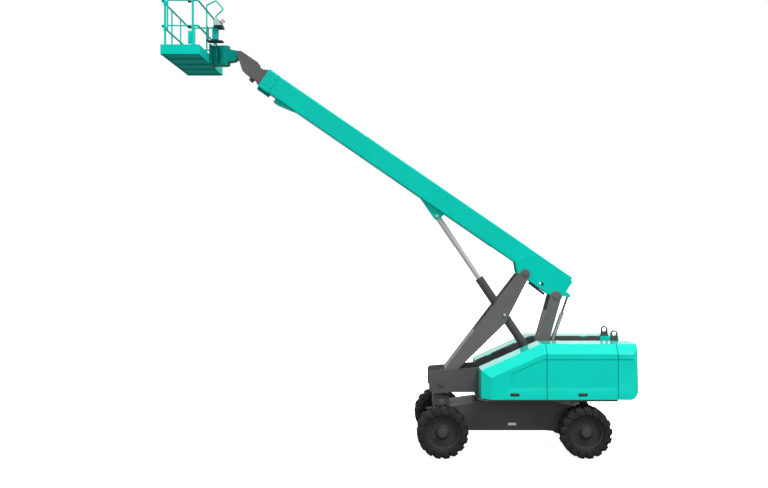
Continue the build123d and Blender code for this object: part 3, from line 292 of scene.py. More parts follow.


# Rims, axles, knuckles, chassis and slew ring: welded and forged steel in dark satin paint,
# sprayed on after assembly, the rims in a darker paint than the rest.
def sprayed_paint(name, colour, deep, roughness, gloss, edge_radius):
    """Sprayed paint: soft mottling, fine orange peel, and a clear film as glossy as asked."""
    material, tree, shader, coords = surface(name, roughness)
    shader.inputs["Specular IOR Level"].default_value = 0.08
    shader.inputs["Coat Weight"].default_value = gloss
    shader.inputs["Coat IOR"].default_value = 1.30
    shader.inputs["Coat Roughness"].default_value = 0.07
    mottle = spread(tree, noise(tree, coords, 1.4, 4), 0.3, 0.7, 0, 1)
    colour_out = blend_colours(tree, mottle, deep, colour)
    tree.links.new(colour_out, shader.inputs["Base Color"])
    sheen = spread(tree, noise(tree, coords, 11, 3), 0.3, 0.7, roughness - 0.05, roughness + 0.07)
    tree.links.new(sheen, shader.inputs["Roughness"])
    relief(tree, shader, noise(tree, coords, 380, 2), 0.05, 0.001, edge_radius)
    return material


def dress(material, *names):
    """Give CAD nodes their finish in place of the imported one."""
    for name in names:
        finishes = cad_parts[name].data.materials
        finishes.clear()
        finishes.append(material)


chassis_paint = sprayed_paint(
    "chassis_paint", (0.092, 0.089, 0.089), (0.075, 0.073, 0.073),
    roughness=0.5, gloss=0.1, edge_radius=0.008,
)
wheel_paint = sprayed_paint(
    "wheel_paint", (0.050, 0.050, 0.051), (0.040, 0.040, 0.041),
    roughness=0.55, gloss=0.05, edge_radius=0.006,
)
dress(wheel_paint, *[f"rim_{wheel}" for wheel in WHEELS])
dress(chassis_paint, "chassis_frame", "slew_ring", "front_axle", "rear_axle")
dress(chassis_paint, "knuckle_left", "knuckle_right")


# Hub covers and wheel nuts: each wheel is held by ten nuts on its disc, set round a turned cover
# that closes the hub's gears and has a drain plug in its face.
NUTS = 10
NUT_CIRCLE = 0.190
NUT_R = 0.019
NUT_HEIGHT = 0.030
NUT_OUT = 0.090
HUB_COVER_R = 0.092
HUB_COVER_THICK = 0.012
HUB_COVER_OUT = 0.004
PLUG_R = 0.014
PLUG_THICK = 0.010
PLUG_OUT = 0.012
PLUG_DROP = 0.055


def add_drum(centre, radius, depth, axis, sides=32, edge=0.0):
    """A solid of round or flat-sided section about X, Y or Z, its end edges rounded if asked."""
    clean_slate()
    turn = {"X": (0, pi / 2, 0), "Y": (pi / 2, 0, 0), "Z": (0, 0, 0)}[axis]
    bpy.ops.mesh.primitive_cylinder_add(
        vertices=sides, radius=radius, depth=depth, location=centre, rotation=turn
    )
    bpy.ops.object.transform_apply(location=True, rotation=True, scale=True)
    if edge:
        along = Vector([float(axis == letter) for letter in "XYZ"])
        start_editing("FACE")
        pick_faces(lambda middle, normal: abs(normal.dot(along)) > 0.9)
        bpy.ops.mesh.bevel(offset=edge, segments=2, affect="EDGES")
        bpy.ops.object.mode_set(mode="OBJECT")
    return bpy.context.object


def fit_out(piece_name, parts, body, material, angle=35):
    """Join made parts into one piece with a finish, riding on a body."""
    clean_slate()
    for part in parts:
        part.select_set(True)
    bpy.context.view_layer.objects.active = parts[0]
    if len(parts) > 1:
        bpy.ops.object.join()
    piece = settle(piece_name)
    piece.data.materials.append(material)
    smooth(piece, angle)
    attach(piece, body)
    return piece


hub_paint = sprayed_paint(
    "hub_paint", (0.062, 0.062, 0.063), (0.050, 0.050, 0.051),
    roughness=0.5, gloss=0.1, edge_radius=0.004,
)
for wheel in WHEELS:
    low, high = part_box(f"rim_{wheel}")
    middle = (low + high) / 2
    outward = 1 if middle.y > 0 else -1
    face_y = high.y if outward > 0 else low.y
    nut_centre = middle + Vector((NUT_CIRCLE, outward * NUT_OUT, 0))
    nuts = add_drum(nut_centre, NUT_R, NUT_HEIGHT, "Y", sides=6, edge=0.003)
    start_editing("FACE")
    bpy.ops.mesh.select_all(action="SELECT")
    step_round(NUTS, middle, (0, 1, 0))
    bpy.ops.object.mode_set(mode="OBJECT")
    cover_centre = (middle.x, face_y + outward * HUB_COVER_OUT, middle.z)
    cover = add_drum(cover_centre, HUB_COVER_R, HUB_COVER_THICK, "Y", sides=40, edge=0.004)
    plug_centre = (middle.x, face_y + outward * PLUG_OUT, middle.z - PLUG_DROP)
    plug = add_drum(plug_centre, PLUG_R, PLUG_THICK, "Y", sides=6, edge=0.002)
    fit_out(f"hub_cover_{wheel}", [cover, nuts, plug], f"wheel_{wheel}", hub_paint)


# Chassis plate: one blank pressed plate, painted white and riveted low on the near side of the
# chassis.
PLATE_X = -0.045
PLATE_Z = 0.536
PLATE_OUT = 0.002
PLATE_SIZE = (0.17, 0.006, 0.052)


def add_block(centre, size, edge, lean=0.0):
    """A box with rounded edges, leaning about Y by an angle in degrees."""
    clean_slate()
    turn = (0, radians(lean), 0)
    bpy.ops.mesh.primitive_cube_add(size=1, location=centre, scale=size, rotation=turn)
    bpy.ops.object.transform_apply(location=True, rotation=True, scale=True)
    start_editing("FACE")
    bpy.ops.mesh.select_all(action="SELECT")
    bpy.ops.mesh.bevel(offset=edge, segments=2, affect="EDGES")
    bpy.ops.object.mode_set(mode="OBJECT")
    return bpy.context.object


chassis_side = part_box("chassis_frame")[1].y
plate_white = sprayed_paint(
    "plate_white", (0.80, 0.80, 0.79), (0.76, 0.76, 0.75),
    roughness=0.4, gloss=0.1, edge_radius=0.001,
)
plate = add_block((PLATE_X, chassis_side + PLATE_OUT, PLATE_Z), PLATE_SIZE, edge=0.002)
fit_out("chassis_plate", [plate], "chassis", plate_white)

# Bolster: a fabricated steel block on the chassis's front end, in the chassis's paint, which the
# nose of the turntable swings over.
BOLSTER_PLACE = (1.410, 0, 0.970)
BOLSTER_SIZE = (0.340, 0.600, 0.260)
bolster = add_block(BOLSTER_PLACE, BOLSTER_SIZE, edge=0.020)
fit_out("bolster", [bolster], "chassis", chassis_paint)

# Turntable frame and boom linkage: thick cut plate, welded and sprayed charcoal, the arms a shade
# lighter than the turntable under them.
charcoal_paint = sprayed_paint(
    "charcoal_paint", (0.086, 0.085, 0.086), (0.072, 0.072, 0.073),
    roughness=0.45, gloss=0.12, edge_radius=0.008,
)
linkage_paint = sprayed_paint(
    "linkage_paint", (0.133, 0.131, 0.132), (0.110, 0.108, 0.109),
    roughness=0.45, gloss=0.08, edge_radius=0.014,
)
dress(charcoal_paint, "turntable_frame")
dress(linkage_paint, "arm", "rear_link", "boom_mid", "boom_fly")

# Hood covers and boom: the moulded covers have a glossy teal finish, so that their flat tops mirror
# the sky at a low angle, and the boom's welded tube is in the same teal, darker and duller.
teal_paint = sprayed_paint(
    "teal_paint", (0.0, 0.600, 0.485), (0.0, 0.565, 0.452),
    roughness=0.36, gloss=1.0, edge_radius=0.010,
)
COVERS = ("front_cover_left", "front_cover_right", "rear_cover_left", "rear_cover_right")
boom_teal = sprayed_paint(
    "boom_teal", (0.0, 0.545, 0.440), (0.0, 0.500, 0.400),
    roughness=0.36, gloss=0.15, edge_radius=0.010,
)
dress(teal_paint, *COVERS)
dress(boom_teal, "boom_base")

# Hood borders: the covers' sides are moulded with a wide border round a shallow panel, whose foot
# is a sloped ledge. Both covers of a side take theirs from one border, parted at their seam.
BORDER_PROUD = 0.011
BORDER_SUNK = 0.006
BORDER_ROUND = 0.004
HOOD_TOP = 2.260
HOOD_BROW = 1.725
HOOD_BEVEL = 0.180
HOOD_SLOPE = Vector((0.409, 0, 0.913))
PANEL_FRONT = 0.070
PANEL_KNEE = 1.681
PANEL_LOW = 1.406
PANEL_HIGH = 1.973
PANEL_SLOPE = Vector((0.414, 0, 0.910))
LEDGE = 0.058
CUT_PAST = 0.1
MOULDED_ANGLE = 12


def add_box(low, high):
    """A plain box between two corners, left in edit mode."""
    clean_slate()
    low, high = Vector(low), Vector(high)
    bpy.ops.mesh.primitive_cube_add(size=1, location=(low + high) / 2, scale=high - low)
    bpy.ops.object.transform_apply(location=True, rotation=True, scale=True)
    start_editing("VERT")
    return bpy.context.object


def pick_points(wanted):
    """Select only the points that are wanted."""
    bpy.ops.mesh.select_all(action="DESELECT")
    mesh = bpy.context.edit_object.data
    shape = bmesh.from_edit_mesh(mesh)
    for point in shape.verts:
        point.select_set(wanted(point.co))
    shape.select_flush(True)
    bmesh.update_edit_mesh(mesh)


def cut_away(point, outward):
    """Cut the piece in edit mode by a plane and drop what lies outward of it."""
    bpy.ops.mesh.select_all(action="SELECT")
    bpy.ops.mesh.bisect(plane_co=point, plane_no=outward, use_fill=True, clear_outer=True)


def hollow_out(piece, cutter):
    """Take the cutter's shape out of a piece."""
    clean_slate()
    piece.select_set(True)
    bpy.context.view_layer.objects.active = piece
    cut = piece.modifiers.new("cut", "BOOLEAN")
    cut.operation = "DIFFERENCE"
    cut.object = cutter
    bpy.ops.object.modifier_apply(modifier=cut.name)
    bpy.data.objects.remove(cutter)


def soften(piece, width):
    """Round the sharp edges of a piece."""
    clean_slate()
    piece.select_set(True)
    bpy.context.view_layer.objects.active = piece
    rounding = piece.modifiers.new("rounding", "BEVEL")
    rounding.width = width
    rounding.segments = 2
    rounding.limit_method = "ANGLE"
    bpy.ops.object.modifier_apply(modifier=rounding.name)


def mirrored(piece):
    """A copy of a piece on the machine's other side."""
    twin = copy_to(piece, piece.name, Vector((0, 0, 0)))
    start_editing("FACE")
    bpy.ops.mesh.select_all(action="SELECT")
    bpy.ops.transform.mirror(constraint_axis=(False, True, False), center_override=(0, 0, 0))
    bpy.ops.mesh.normals_make_consistent(inside=False)
    bpy.ops.object.mode_set(mode="OBJECT")
    return twin


def panel_cutter(rear, inner):
    """The side panel's hollow, from a rear end forward, cut in as deep as an inner Y."""
    steep = LEDGE / BORDER_PROUD
    outer = hood_side + 2 * BORDER_PROUD
    inner_foot = PANEL_LOW - steep * (inner - hood_side)
    cutter = add_box((rear, inner, inner_foot), (PANEL_FRONT, outer, PANEL_HIGH))
    cut_away((PANEL_FRONT, 0, PANEL_KNEE), PANEL_SLOPE)
    foot = PANEL_LOW + 3 * LEDGE
    pick_points(lambda at: at.y > outer - 0.001 and at.z < foot)
    bpy.ops.transform.translate(value=(0, 0, -steep * (outer - inner)))
    bpy.ops.object.mode_set(mode="OBJECT")
    return cutter


front_low, front_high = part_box("front_cover_left")
rear_low, rear_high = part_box("rear_cover_left")
hood_side = front_high.y
hood_brow = Vector((front_high.x, 0, HOOD_BROW))
border = add_box(
    (rear_low.x, hood_side - BORDER_SUNK, front_low.z),
    (front_high.x - HOOD_BEVEL, hood_side + BORDER_PROUD, HOOD_TOP - HOOD_BEVEL),
)
cut_away(hood_brow - HOOD_BEVEL * HOOD_SLOPE, HOOD_SLOPE)
hollow_out(border, panel_cutter(rear_low.x - CUT_PAST, hood_side - 2 * BORDER_SUNK))
cover_spans = {"front_cover": (front_low, front_high), "rear_cover": (rear_low, rear_high)}
for cover, (low, high) in cover_spans.items():
    near = copy_to(border, f"border_{cover}_left", Vector((0, 0, 0)))
    start_editing("FACE")
    cut_away(low, (-1, 0, 0))
    cut_away(high, (1, 0, 0))
    bpy.ops.object.mode_set(mode="OBJECT")
    soften(near, BORDER_ROUND)
    far = mirrored(near)
    for side_name, piece in (("left", near), ("right", far)):
        body = f"{cover}_{side_name}"
        fit_out(f"border_{body}", [piece], body, teal_paint, MOULDED_ANGLE)
bpy.data.objects.remove(border)

# Counterweight: one iron casting across the tail, round below, with sloped rear corners, a notch
# for the lowered boom, and the hoods' side panel carried on round it.
TAIL_LEAN = 0.030
TAIL_ROUND = 0.200
TAIL_EDGE = 0.006
TAIL_CORNER = 0.130
NOTCH_HALF = 0.390
NOTCH_FLOOR = 1.950
NOTCH_PAST = 1
NEAR_EDGE = 0.01
TAIL_REACH = 0.028
tail_low, tail_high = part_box("counterweight")
tail_low.x -= TAIL_REACH
tail_half = hood_side + BORDER_PROUD
tail = add_box((tail_low.x, -tail_half, tail_low.z), (tail_high.x, tail_half, tail_high.z))
bpy.ops.mesh.select_mode(type="EDGE")
pick_points(lambda at: at.x < tail_low.x + NEAR_EDGE and at.z < tail_low.z + NEAR_EDGE)
bpy.ops.mesh.bevel(offset=TAIL_ROUND, segments=8, affect="EDGES")
tail_rise = tail_high.z - tail_low.z
cut_away(tail_low, (-tail_rise, 0, TAIL_LEAN))
for side in (1, -1):
    cut_away((0, side * (tail_half - HOOD_BEVEL), tail_high.z), (0, side, 1))
    cut_away((tail_low.x, side * (tail_half - TAIL_CORNER), 0), (-1, side, 0))
bpy.ops.object.mode_set(mode="OBJECT")
notch = add_box(
    (tail_low.x - NOTCH_PAST, -NOTCH_HALF, NOTCH_FLOOR),
    (tail_high.x + NOTCH_PAST, NOTCH_HALF, tail_high.z + NOTCH_PAST),
)
hollow_out(tail, notch)
tail_panel = panel_cutter(tail_low.x - CUT_PAST, hood_side)
far_panel = mirrored(tail_panel)
hollow_out(tail, tail_panel)
hollow_out(tail, far_panel)
soften(tail, TAIL_EDGE)
tail = fit_out("tail_casting", [tail], "turntable", teal_paint, MOULDED_ANGLE)
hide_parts("counterweight")

# Platform, rails and rotator: welded tube and plate in the same teal as a thin powder coat, duller
# than the hoods' finish. The rotator and its bracket take a darker copy of it, painted shade for
# the platform's shadow over them.
platform_teal = sprayed_paint(
    "platform_teal", (0.0, 0.590, 0.490), (0.0, 0.555, 0.455),
    roughness=0.5, gloss=0.0, edge_radius=0.004,
)
# Painted shade: a darker copy of the platform's teal, standing in for the platform's shadow.
shaded_rotator_teal = sprayed_paint(
    "shaded_rotator_teal", (0.0, 0.250, 0.215), (0.0, 0.225, 0.190),
    roughness=0.5, gloss=0.05, edge_radius=0.006,
)
dress(platform_teal, "platform_floor", "platform_rails", "gate")
dress(shaded_rotator_teal, "level_head", "platform_support")

# Rotator bracket's webs: two upright plates welded between the platform support's flanges, close
# behind the rotator's housing, which they pass as the platform turns.
WEB_SIZE = (0.112, 0.020, 0.352)
WEB_X = 6.156
WEB_Y = 0.092
support_low, support_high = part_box("platform_support")
web_z = (support_low.z + support_high.z) / 2
webs = [add_block((WEB_X, side * WEB_Y, web_z), WEB_SIZE, edge=0.003) for side in (1, -1)]
# The webs take the rotator's teal, painted shade for the platform's shadow.
fit_out("support_webs", webs, "platform", shaded_rotator_teal)


# Cover handles and hydraulic tank: moulded black plastic with a fine leathery grain, the handles
# set into the covers and the tank standing on the turntable's deck.
def black_plastic_finish():
    """Moulded black plastic."""
    material, tree, shader, coords = surface("black_plastic", 0.55)
    shader.inputs["Specular IOR Level"].default_value = 0.3
    tone = spread(tree, noise(tree, coords, 20, 3), 0.3, 0.7, 0, 1)
    colour = blend_colours(tree, tone, (0.012, 0.013, 0.013), (0.020, 0.021, 0.022))
    tree.links.new(colour, shader.inputs["Base Color"])
    relief(tree, shader, noise(tree, coords, 520, 2), 0.2, 0.001, 0.003)
    return material


black_plastic = black_plastic_finish()
dress(black_plastic, "hydraulic_tank", *[f"handle_{cover}" for cover in COVERS])

# Console: a pale moulded control box in a dark tray, on a column painted like the platform, which
# stands on a dark bracket.
CONSOLE_TONES = [
    # from this height up, colour
    (8.000, (0.020, 0.040, 0.038)),
    (8.490, (0.000, 0.420, 0.350)),
    (8.725, (0.012, 0.030, 0.030)),
    (8.762, (0.420, 0.560, 0.550)),
]
CONSOLE_SPAN = (8.0, 9.0)


def console_finish():
    """Satin plastic and paint, each tone from its own height up."""
    material, tree, shader, coords = surface("console_tones", 0.5)
    shader.inputs["Specular IOR Level"].default_value = 0.15
    split_axes = tree.nodes.new("ShaderNodeSeparateXYZ")
    tree.links.new(coords, split_axes.inputs["Vector"])
    ramp = tree.nodes.new("ShaderNodeValToRGB")
    ramp.color_ramp.interpolation = "CONSTANT"
    bottom, top = CONSOLE_SPAN
    stops = ramp.color_ramp.elements
    while len(stops) < len(CONSOLE_TONES):
        stops.new(1.0)
    for stop, (height, colour) in zip(stops, CONSOLE_TONES):
        stop.position = (height - bottom) / (top - bottom)
        stop.color = (*colour, 1)
    tree.links.new(spread(tree, split_axes.outputs["Z"], bottom, top, 0, 1), ramp.inputs["Fac"])
    tree.links.new(ramp.outputs["Color"], shader.inputs["Base Color"])
    relief(tree, shader, noise(tree, coords, 420, 2), 0.1, 0.001, 0.003)
    return material


dress(console_finish(), "console")


# Engine and lifting eyes: bare castings with a rough sand-cast skin, the engine standing under the
# rear hood and the eyes fixed on the counterweight's top.
def casting_finish(name, colour, metallic):
    """Rough cast metal."""
    material, tree, shader, coords = surface(name, 0.6, metallic)
    tone = spread(tree, noise(tree, coords, 14, 6), 0.3, 0.7, 0, 1)
    mixed = blend_colours(tree, tone, tuple(0.75 * c for c in colour), colour)
    tree.links.new(mixed, shader.inputs["Base Color"])
    relief(tree, shader, noise(tree, coords, 120, 5), 0.3, 0.002, 0.004)
    return material


dress(casting_finish("eye_casting", (0.075, 0.075, 0.077), 0.2), "lifting_eyes")
dress(casting_finish("engine_casting", (0.30, 0.30, 0.31), 0.7), "engine_block")

# Lift and levelling cylinders: the first has a dark painted barrel and a hard-chromed rod, the
# second a bare steel barrel and a dark rod.
METAL_SHARE = 0.76
MARK_TONE = 0.88


def turned_metal(name, colour, roughness):
    """Ground and plated metal with faint turning marks."""
    material, tree, shader, coords = surface(name, roughness, METAL_SHARE)
    marks = noise(tree, coords, 90, 2)
    share = spread(tree, marks, 0.3, 0.7, 0, 1)
    tone = blend_colours(tree, share, tuple(MARK_TONE * c for c in colour), colour)
    tree.links.new(tone, shader.inputs["Base Color"])
    relief(tree, shader, marks, 0.03, 0.0005, 0.002)
    return material


barrel_paint = sprayed_paint(
    "barrel_paint", (0.080, 0.080, 0.082), (0.066, 0.066, 0.068),
    roughness=0.38, gloss=0.2, edge_radius=0.006,
)
rod_chrome = turned_metal("rod_chrome", (0.92, 0.92, 0.91), 0.24)
dress(barrel_paint, "lift_barrel", "level_rod")
dress(rod_chrome, "lift_rod")
dress(turned_metal("levelling_steel", (0.62, 0.62, 0.63), 0.34), "level_barrel")

# Pins of the boom linkage: turned steel pins held by round caps, each cap bolted to the plate that
# carries it, with bright ends at the lift cylinder's trunnion and rod eye.
ARM_TOP = Vector((-0.350, 0, 3.630))
BOOM_ANGLE = 34.5
CAP_BOLTS = 4
CAP_THICK = 0.016
CAP_BOLT_CIRCLE = 0.68
CAP_BOLT_R = 0.13
PIN_END_THICK = 0.008
PIN_END_OUT = 0.003


def on_boom(along, above, y):
    """Point on the boom, along it and square to it from the arm's top pin."""
    lean = radians(BOOM_ANGLE)
    forward = along * cos(lean) - above * sin(lean)
    up = along * sin(lean) + above * cos(lean)
    return ARM_TOP + Vector((forward, y, up))


def pin_cap(centre, radius, thickness):
    """A cap on each side of the machine, with its ring of bolts."""
    parts = []
    for outward in (1, -1):
        middle = Vector((centre.x, outward * (centre.y + thickness / 2), centre.z))
        parts.append(add_drum(middle, radius, thickness, "Y", sides=40, edge=thickness / 4))
        bolt_place = middle + Vector((CAP_BOLT_CIRCLE * radius, outward * 0.75 * thickness, 0))
        bolts = add_drum(bolt_place, CAP_BOLT_R * radius, thickness / 2, "Y", sides=6)
        start_editing("FACE")
        bpy.ops.mesh.select_all(action="SELECT")
        step_round(CAP_BOLTS, middle, (0, 1, 0))
        bpy.ops.object.mode_set(mode="OBJECT")
        parts.append(bolts)
    return parts


caps = [
    # name, body, paint, X, outer face's Y, Z, radius
    ("foot_caps", "turntable", charcoal_paint, 1.420, 0.430, 1.370, 0.075),
    ("arm_caps", "arm", linkage_paint, -0.350, 0.252, 3.630, 0.064),
    ("link_caps", "rear_link", linkage_paint, -0.990, 0.247, 3.155, 0.064),
]
for name, body, paint, x, y, z, radius in caps:
    fit_out(name, pin_cap(Vector((x, y, z)), radius, CAP_THICK), body, paint)
bright_pins = [
    # name, body, centre with its outer face's Y, radius
    ("trunnion_ends", "arm", Vector((0.083, 0.266, 2.770)), 0.028),
    ("rod_eye_ends", "boom", Vector((1.483, 0.102, 4.840)), 0.034),
]
for name, body, centre, radius in bright_pins:
    ends = []
    for side in (1, -1):
        end_centre = (centre.x, side * (centre.y + PIN_END_OUT), centre.z)
        ends.append(add_drum(end_centre, radius, PIN_END_THICK, "Y", edge=0.002))
    fit_out(name, ends, body, rod_chrome)

# Hose guard: a straight steel bar under the middle of the boom's tail, which carries the hoses from
# the rear link's top pin towards the arm's.
GUARD_FRONT = Vector((-0.455, 0, 3.435))
GUARD_REAR = Vector((-0.780, 0, 3.190))
GUARD_WIDE = 0.110
GUARD_THICK = 0.050
guard_run = GUARD_FRONT - GUARD_REAR
guard_lean = -degrees(atan2(guard_run.z, guard_run.x))
guard_size = (guard_run.length, GUARD_WIDE, GUARD_THICK)
guard = add_block((GUARD_FRONT + GUARD_REAR) / 2, guard_size, edge=0.012, lean=guard_lean)
fit_out("hose_guard", [guard], "boom", charcoal_paint)

# Levelling cylinder's gland: a dark turned collar, screwed on the barrel's upper end, which seals
# the rod.
GLAND_R = 0.034
GLAND_LENGTH = 0.130
GLAND_IN = 0.02
level_low, level_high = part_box("level_barrel")
level_run = Vector((level_low.x - level_high.x, 0, level_high.z - level_low.z))
gland_top = Vector((level_low.x + GLAND_IN, (level_low.y + level_high.y) / 2, level_high.z))
gland = add_drum((0, 0, 0), GLAND_R, GLAND_LENGTH, "Z", edge=0.005)
gland.location = gland_top - 0.5 * GLAND_LENGTH * level_run.normalized()
gland.rotation_euler = (0, atan2(level_run.x, level_run.z), 0)
fit_out("level_gland", [gland], "level_barrel", barrel_paint)

# Boom tip: a housing of welded plate under the tube's mouth, in the rotator's darker teal of
# painted shade, holds the lower wear pads, and bolts along both sides of the collar hold the
# others.
COLLAR_MIDDLE = 6.710
COLLAR_LENGTH = 0.260
COLLAR_SIDE = 0.198
COLLAR_LOW = 0.072
HOUSING_DROP = 0.020
HOUSING_SIZE = (COLLAR_LENGTH + 0.012, 0.212, 0.076)
PAD_BOLT_R = 0.013
PAD_BOLT_HEIGHT = 0.012
PAD_BOLT_OUT = 0.003
PAD_BOLTS_ALONG = (-0.085, 0.0, 0.085)
PAD_BOLTS_ABOVE = (0.110, 0.320)
housing_place = on_boom(COLLAR_MIDDLE, COLLAR_LOW - HOUSING_DROP, 0)
housing = add_block(housing_place, HOUSING_SIZE, edge=0.006, lean=-BOOM_ANGLE)
fit_out("pad_housing", [housing], "boom", shaded_rotator_teal)
pad_bolts = []
for side in (1, -1):
    bolt_y = side * (COLLAR_SIDE + PAD_BOLT_OUT)
    for along in PAD_BOLTS_ALONG:
        for above in PAD_BOLTS_ABOVE:
            place = on_boom(COLLAR_MIDDLE + along, COLLAR_LOW + above, bolt_y)
            pad_bolts.append(add_drum(place, PAD_BOLT_R, PAD_BOLT_HEIGHT, "Y", sides=6, edge=0.002))
fit_out("pad_bolts", pad_bolts, "boom", boom_teal)

# Hose roller: a steel roller between two ears under the inner section's mouth, which leads the
# hoses out of the boom.
ROLLER_ALONG = 7.059
ROLLER_ABOVE = 0.105
ROLLER_R = 0.036
ROLLER_WIDTH = 0.150
EAR_SIZE = (0.076, 0.012, 0.130)
EAR_RISE = 0.040
EAR_Y = 0.081
roller_centre = on_boom(ROLLER_ALONG, ROLLER_ABOVE, 0)
roller = [add_drum(roller_centre, ROLLER_R, ROLLER_WIDTH, "Y", edge=0.004)]
for side in (1, -1):
    ear_place = on_boom(ROLLER_ALONG, ROLLER_ABOVE + EAR_RISE, side * EAR_Y)
    roller.append(add_block(ear_place, EAR_SIZE, edge=0.004, lean=-BOOM_ANGLE))
fit_out("hose_roller", roller, "boom_fly", linkage_paint)

# Counterweight bolts: four large steel bolts, their heads on the casting's rear face, which clamp
# it to the turntable's tail.
WEIGHT_BOLT_R = 0.034
WEIGHT_BOLT_HEIGHT = 0.022
WEIGHT_BOLT_OUT = 0.008
WEIGHT_BOLT_Y = 0.60
WEIGHT_BOLT_LEVELS = (1.45, 1.80)
weight_bolts = []
for side in (1, -1):
    for height in WEIGHT_BOLT_LEVELS:
        rear_x = tail_low.x + TAIL_LEAN * (height - tail_low.z) / tail_rise
        place = (rear_x - WEIGHT_BOLT_OUT, side * WEIGHT_BOLT_Y, height)
        head = add_drum(place, WEIGHT_BOLT_R, WEIGHT_BOLT_HEIGHT, "X", sides=6, edge=0.004)
        weight_bolts.append(head)
fit_out("weight_bolts", weight_bolts, "turntable", charcoal_paint)

# Cover latches: a painted steel paddle in each moulded handle, which is lifted to free the cover
# from its catch.
PADDLE_SIZE = (0.112, 0.008, 0.026)
PADDLE_RISE = 0.006
for cover in COVERS:
    low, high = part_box(f"handle_{cover}")
    middle = (low + high) / 2
    front_y = high.y if middle.y > 0 else low.y
    paddle = add_block((middle.x, front_y, middle.z + PADDLE_RISE), PADDLE_SIZE, edge=0.003)
    fit_out(f"latch_{cover}", [paddle], cover, barrel_paint)

# Tread sheet: an aluminium floor plate with raised bars, laid inside the platform's toe boards and
# screwed to its floor frame.
FLOOR_TOP = 8.070
TREAD_MARGIN = 0.020
TREAD_THICK = 0.006


def tread_plate_finish():
    """Aluminium floor plate with raised bars in two directions."""
    material, tree, shader, coords = surface("tread_plate", 0.42, 0.9)
    shader.inputs["Base Color"].default_value = (0.42, 0.42, 0.43, 1)
    turned = tree.nodes.new("ShaderNodeMapping")
    turned.inputs["Rotation"].default_value = (0, 0, radians(45))
    tree.links.new(coords, turned.inputs["Vector"])
    bars = tree.nodes.new("ShaderNodeTexBrick")
    bars.inputs["Scale"].default_value = 14
    bars.inputs["Mortar Size"].default_value = 0.03
    tree.links.new(turned.outputs["Vector"], bars.inputs["Vector"])
    relief(tree, shader, bars.outputs["Fac"], 0.6, 0.004, 0.002)
    return material


floor_low, floor_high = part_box("platform_floor")
floor_span = floor_high - floor_low
tread_size = (floor_span.x - TREAD_MARGIN, floor_span.y - TREAD_MARGIN, TREAD_THICK)
tread_place = ((floor_low.x + floor_high.x) / 2, 0, FLOOR_TOP + TREAD_THICK / 2)
tread_sheet = add_block(tread_place, tread_size, edge=0.001)
fit_out("tread_sheet", [tread_sheet], "platform", tread_plate_finish())

# Console controls: a black plastic panel on the console's sloped face, with two joysticks, each a
# boot, a stem and a knob.
FACE_LEAN = -49.8
FACE_IN = 0.055
FACE_Z = 8.836
FACE_SIZE = (0.135, 0.250, 0.012)
FACE_OUT = 0.004
STICK_Y = 0.075
STICK_STEPS = (
    # reach from the face, radius, height
    (0.014, 0.024, 0.016),
    (0.044, 0.008, 0.060),
    (0.078, 0.015, 0.030),
)
console_low, console_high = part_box("console")
face_middle = Vector((console_low.x + FACE_IN, (console_low.y + console_high.y) / 2, FACE_Z))
face_out = Vector((sin(radians(FACE_LEAN)), 0, cos(radians(FACE_LEAN))))
controls = [add_block(face_middle + FACE_OUT * face_out, FACE_SIZE, edge=0.003, lean=FACE_LEAN)]
for sideways in (-STICK_Y, STICK_Y):
    for reach, radius, height in STICK_STEPS:
        stick = add_drum((0, 0, 0), radius, height, "Z", sides=20, edge=radius / 4)
        stick.location = face_middle + reach * face_out + Vector((0, sideways, 0))
        stick.rotation_euler = (0, radians(FACE_LEAN), 0)
        bpy.ops.object.transform_apply(location=True, rotation=True, scale=True)
        controls.append(stick)
fit_out("console_controls", controls, "platform", black_plastic)

# Kick panel: a small folded plate between the near side's rails, in the platform's teal, welded to
# the post above the toe board.
KICK_PLACE = (6.433, 1.1907, 8.366)
KICK_SIZE = (0.098, 0.008, 0.262)
kick_panel = add_block(KICK_PLACE, KICK_SIZE, edge=0.002)
fit_out("kick_panel", [kick_panel], "platform", platform_teal)

# Gate latches: two black plastic spring latches, clamped under the gate's rails, which catch the
# post beside it.
GATE_LATCH_SIZE = (0.070, 0.030, 0.040)
GATE_LATCH_LEVELS = (8.576, 9.076)
GATE_LATCH_X = 0.030
GATE_LATCH_Y = 0.031
gate_low, gate_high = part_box("gate")
latches = []
for height in GATE_LATCH_LEVELS:
    latch_place = (gate_low.x + GATE_LATCH_X, gate_high.y - GATE_LATCH_Y, height)
    latches.append(add_block(latch_place, GATE_LATCH_SIZE, edge=0.006))
fit_out("gate_latches", latches, "gate", black_plastic)

# Studio: a pale floor running to a white horizon, under an even sky, with a soft sun from above and
# weaker ones from both sides and both ends of the machine.
FLOOR_SPAN = 600
SUN_SPREAD = 25
SKY_LOW = 0.50
SKY_HIGH = 0.90
MIRRORED_NEAR = 0.45
FLOOR_WHITE = 0.80
FLOOR_BOUNCE = 0.16
FLOOR_PALE = 0.9
CAMERA_PLACE = (2.373, 19.05, 4.442)
FRAME_WIDTH = 768
FRAME_HEIGHT = 488
FOCAL_PIXELS = 900
OPTICAL_AXIS = (395, 235)
SENSOR = 36


def floor_finish():
    """Pale floor that meets the white background, keeps the shadow and throws little light up."""
    material = bpy.data.materials.new("floor_pale")
    material.use_nodes = True
    tree = material.node_tree
    shader = tree.nodes["Principled BSDF"]
    shader.inputs["Roughness"].default_value = 0.9
    shader.inputs["Specular IOR Level"].default_value = 0.0
    rays = tree.nodes.new("ShaderNodeLightPath").outputs["Is Camera Ray"]
    grey = tree.nodes.new("ShaderNodeMapRange")
    grey.inputs["To Min"].default_value = FLOOR_BOUNCE
    grey.inputs["To Max"].default_value = FLOOR_PALE
    tree.links.new(rays, grey.inputs["Value"])
    tree.links.new(grey.outputs["Result"], shader.inputs["Base Color"])
    tree.links.new(spread(tree, rays, 0, 1, 0, FLOOR_WHITE), shader.inputs["Emission Strength"])
    shader.inputs["Emission Color"].default_value = (1, 1, 1, 1)
    return material


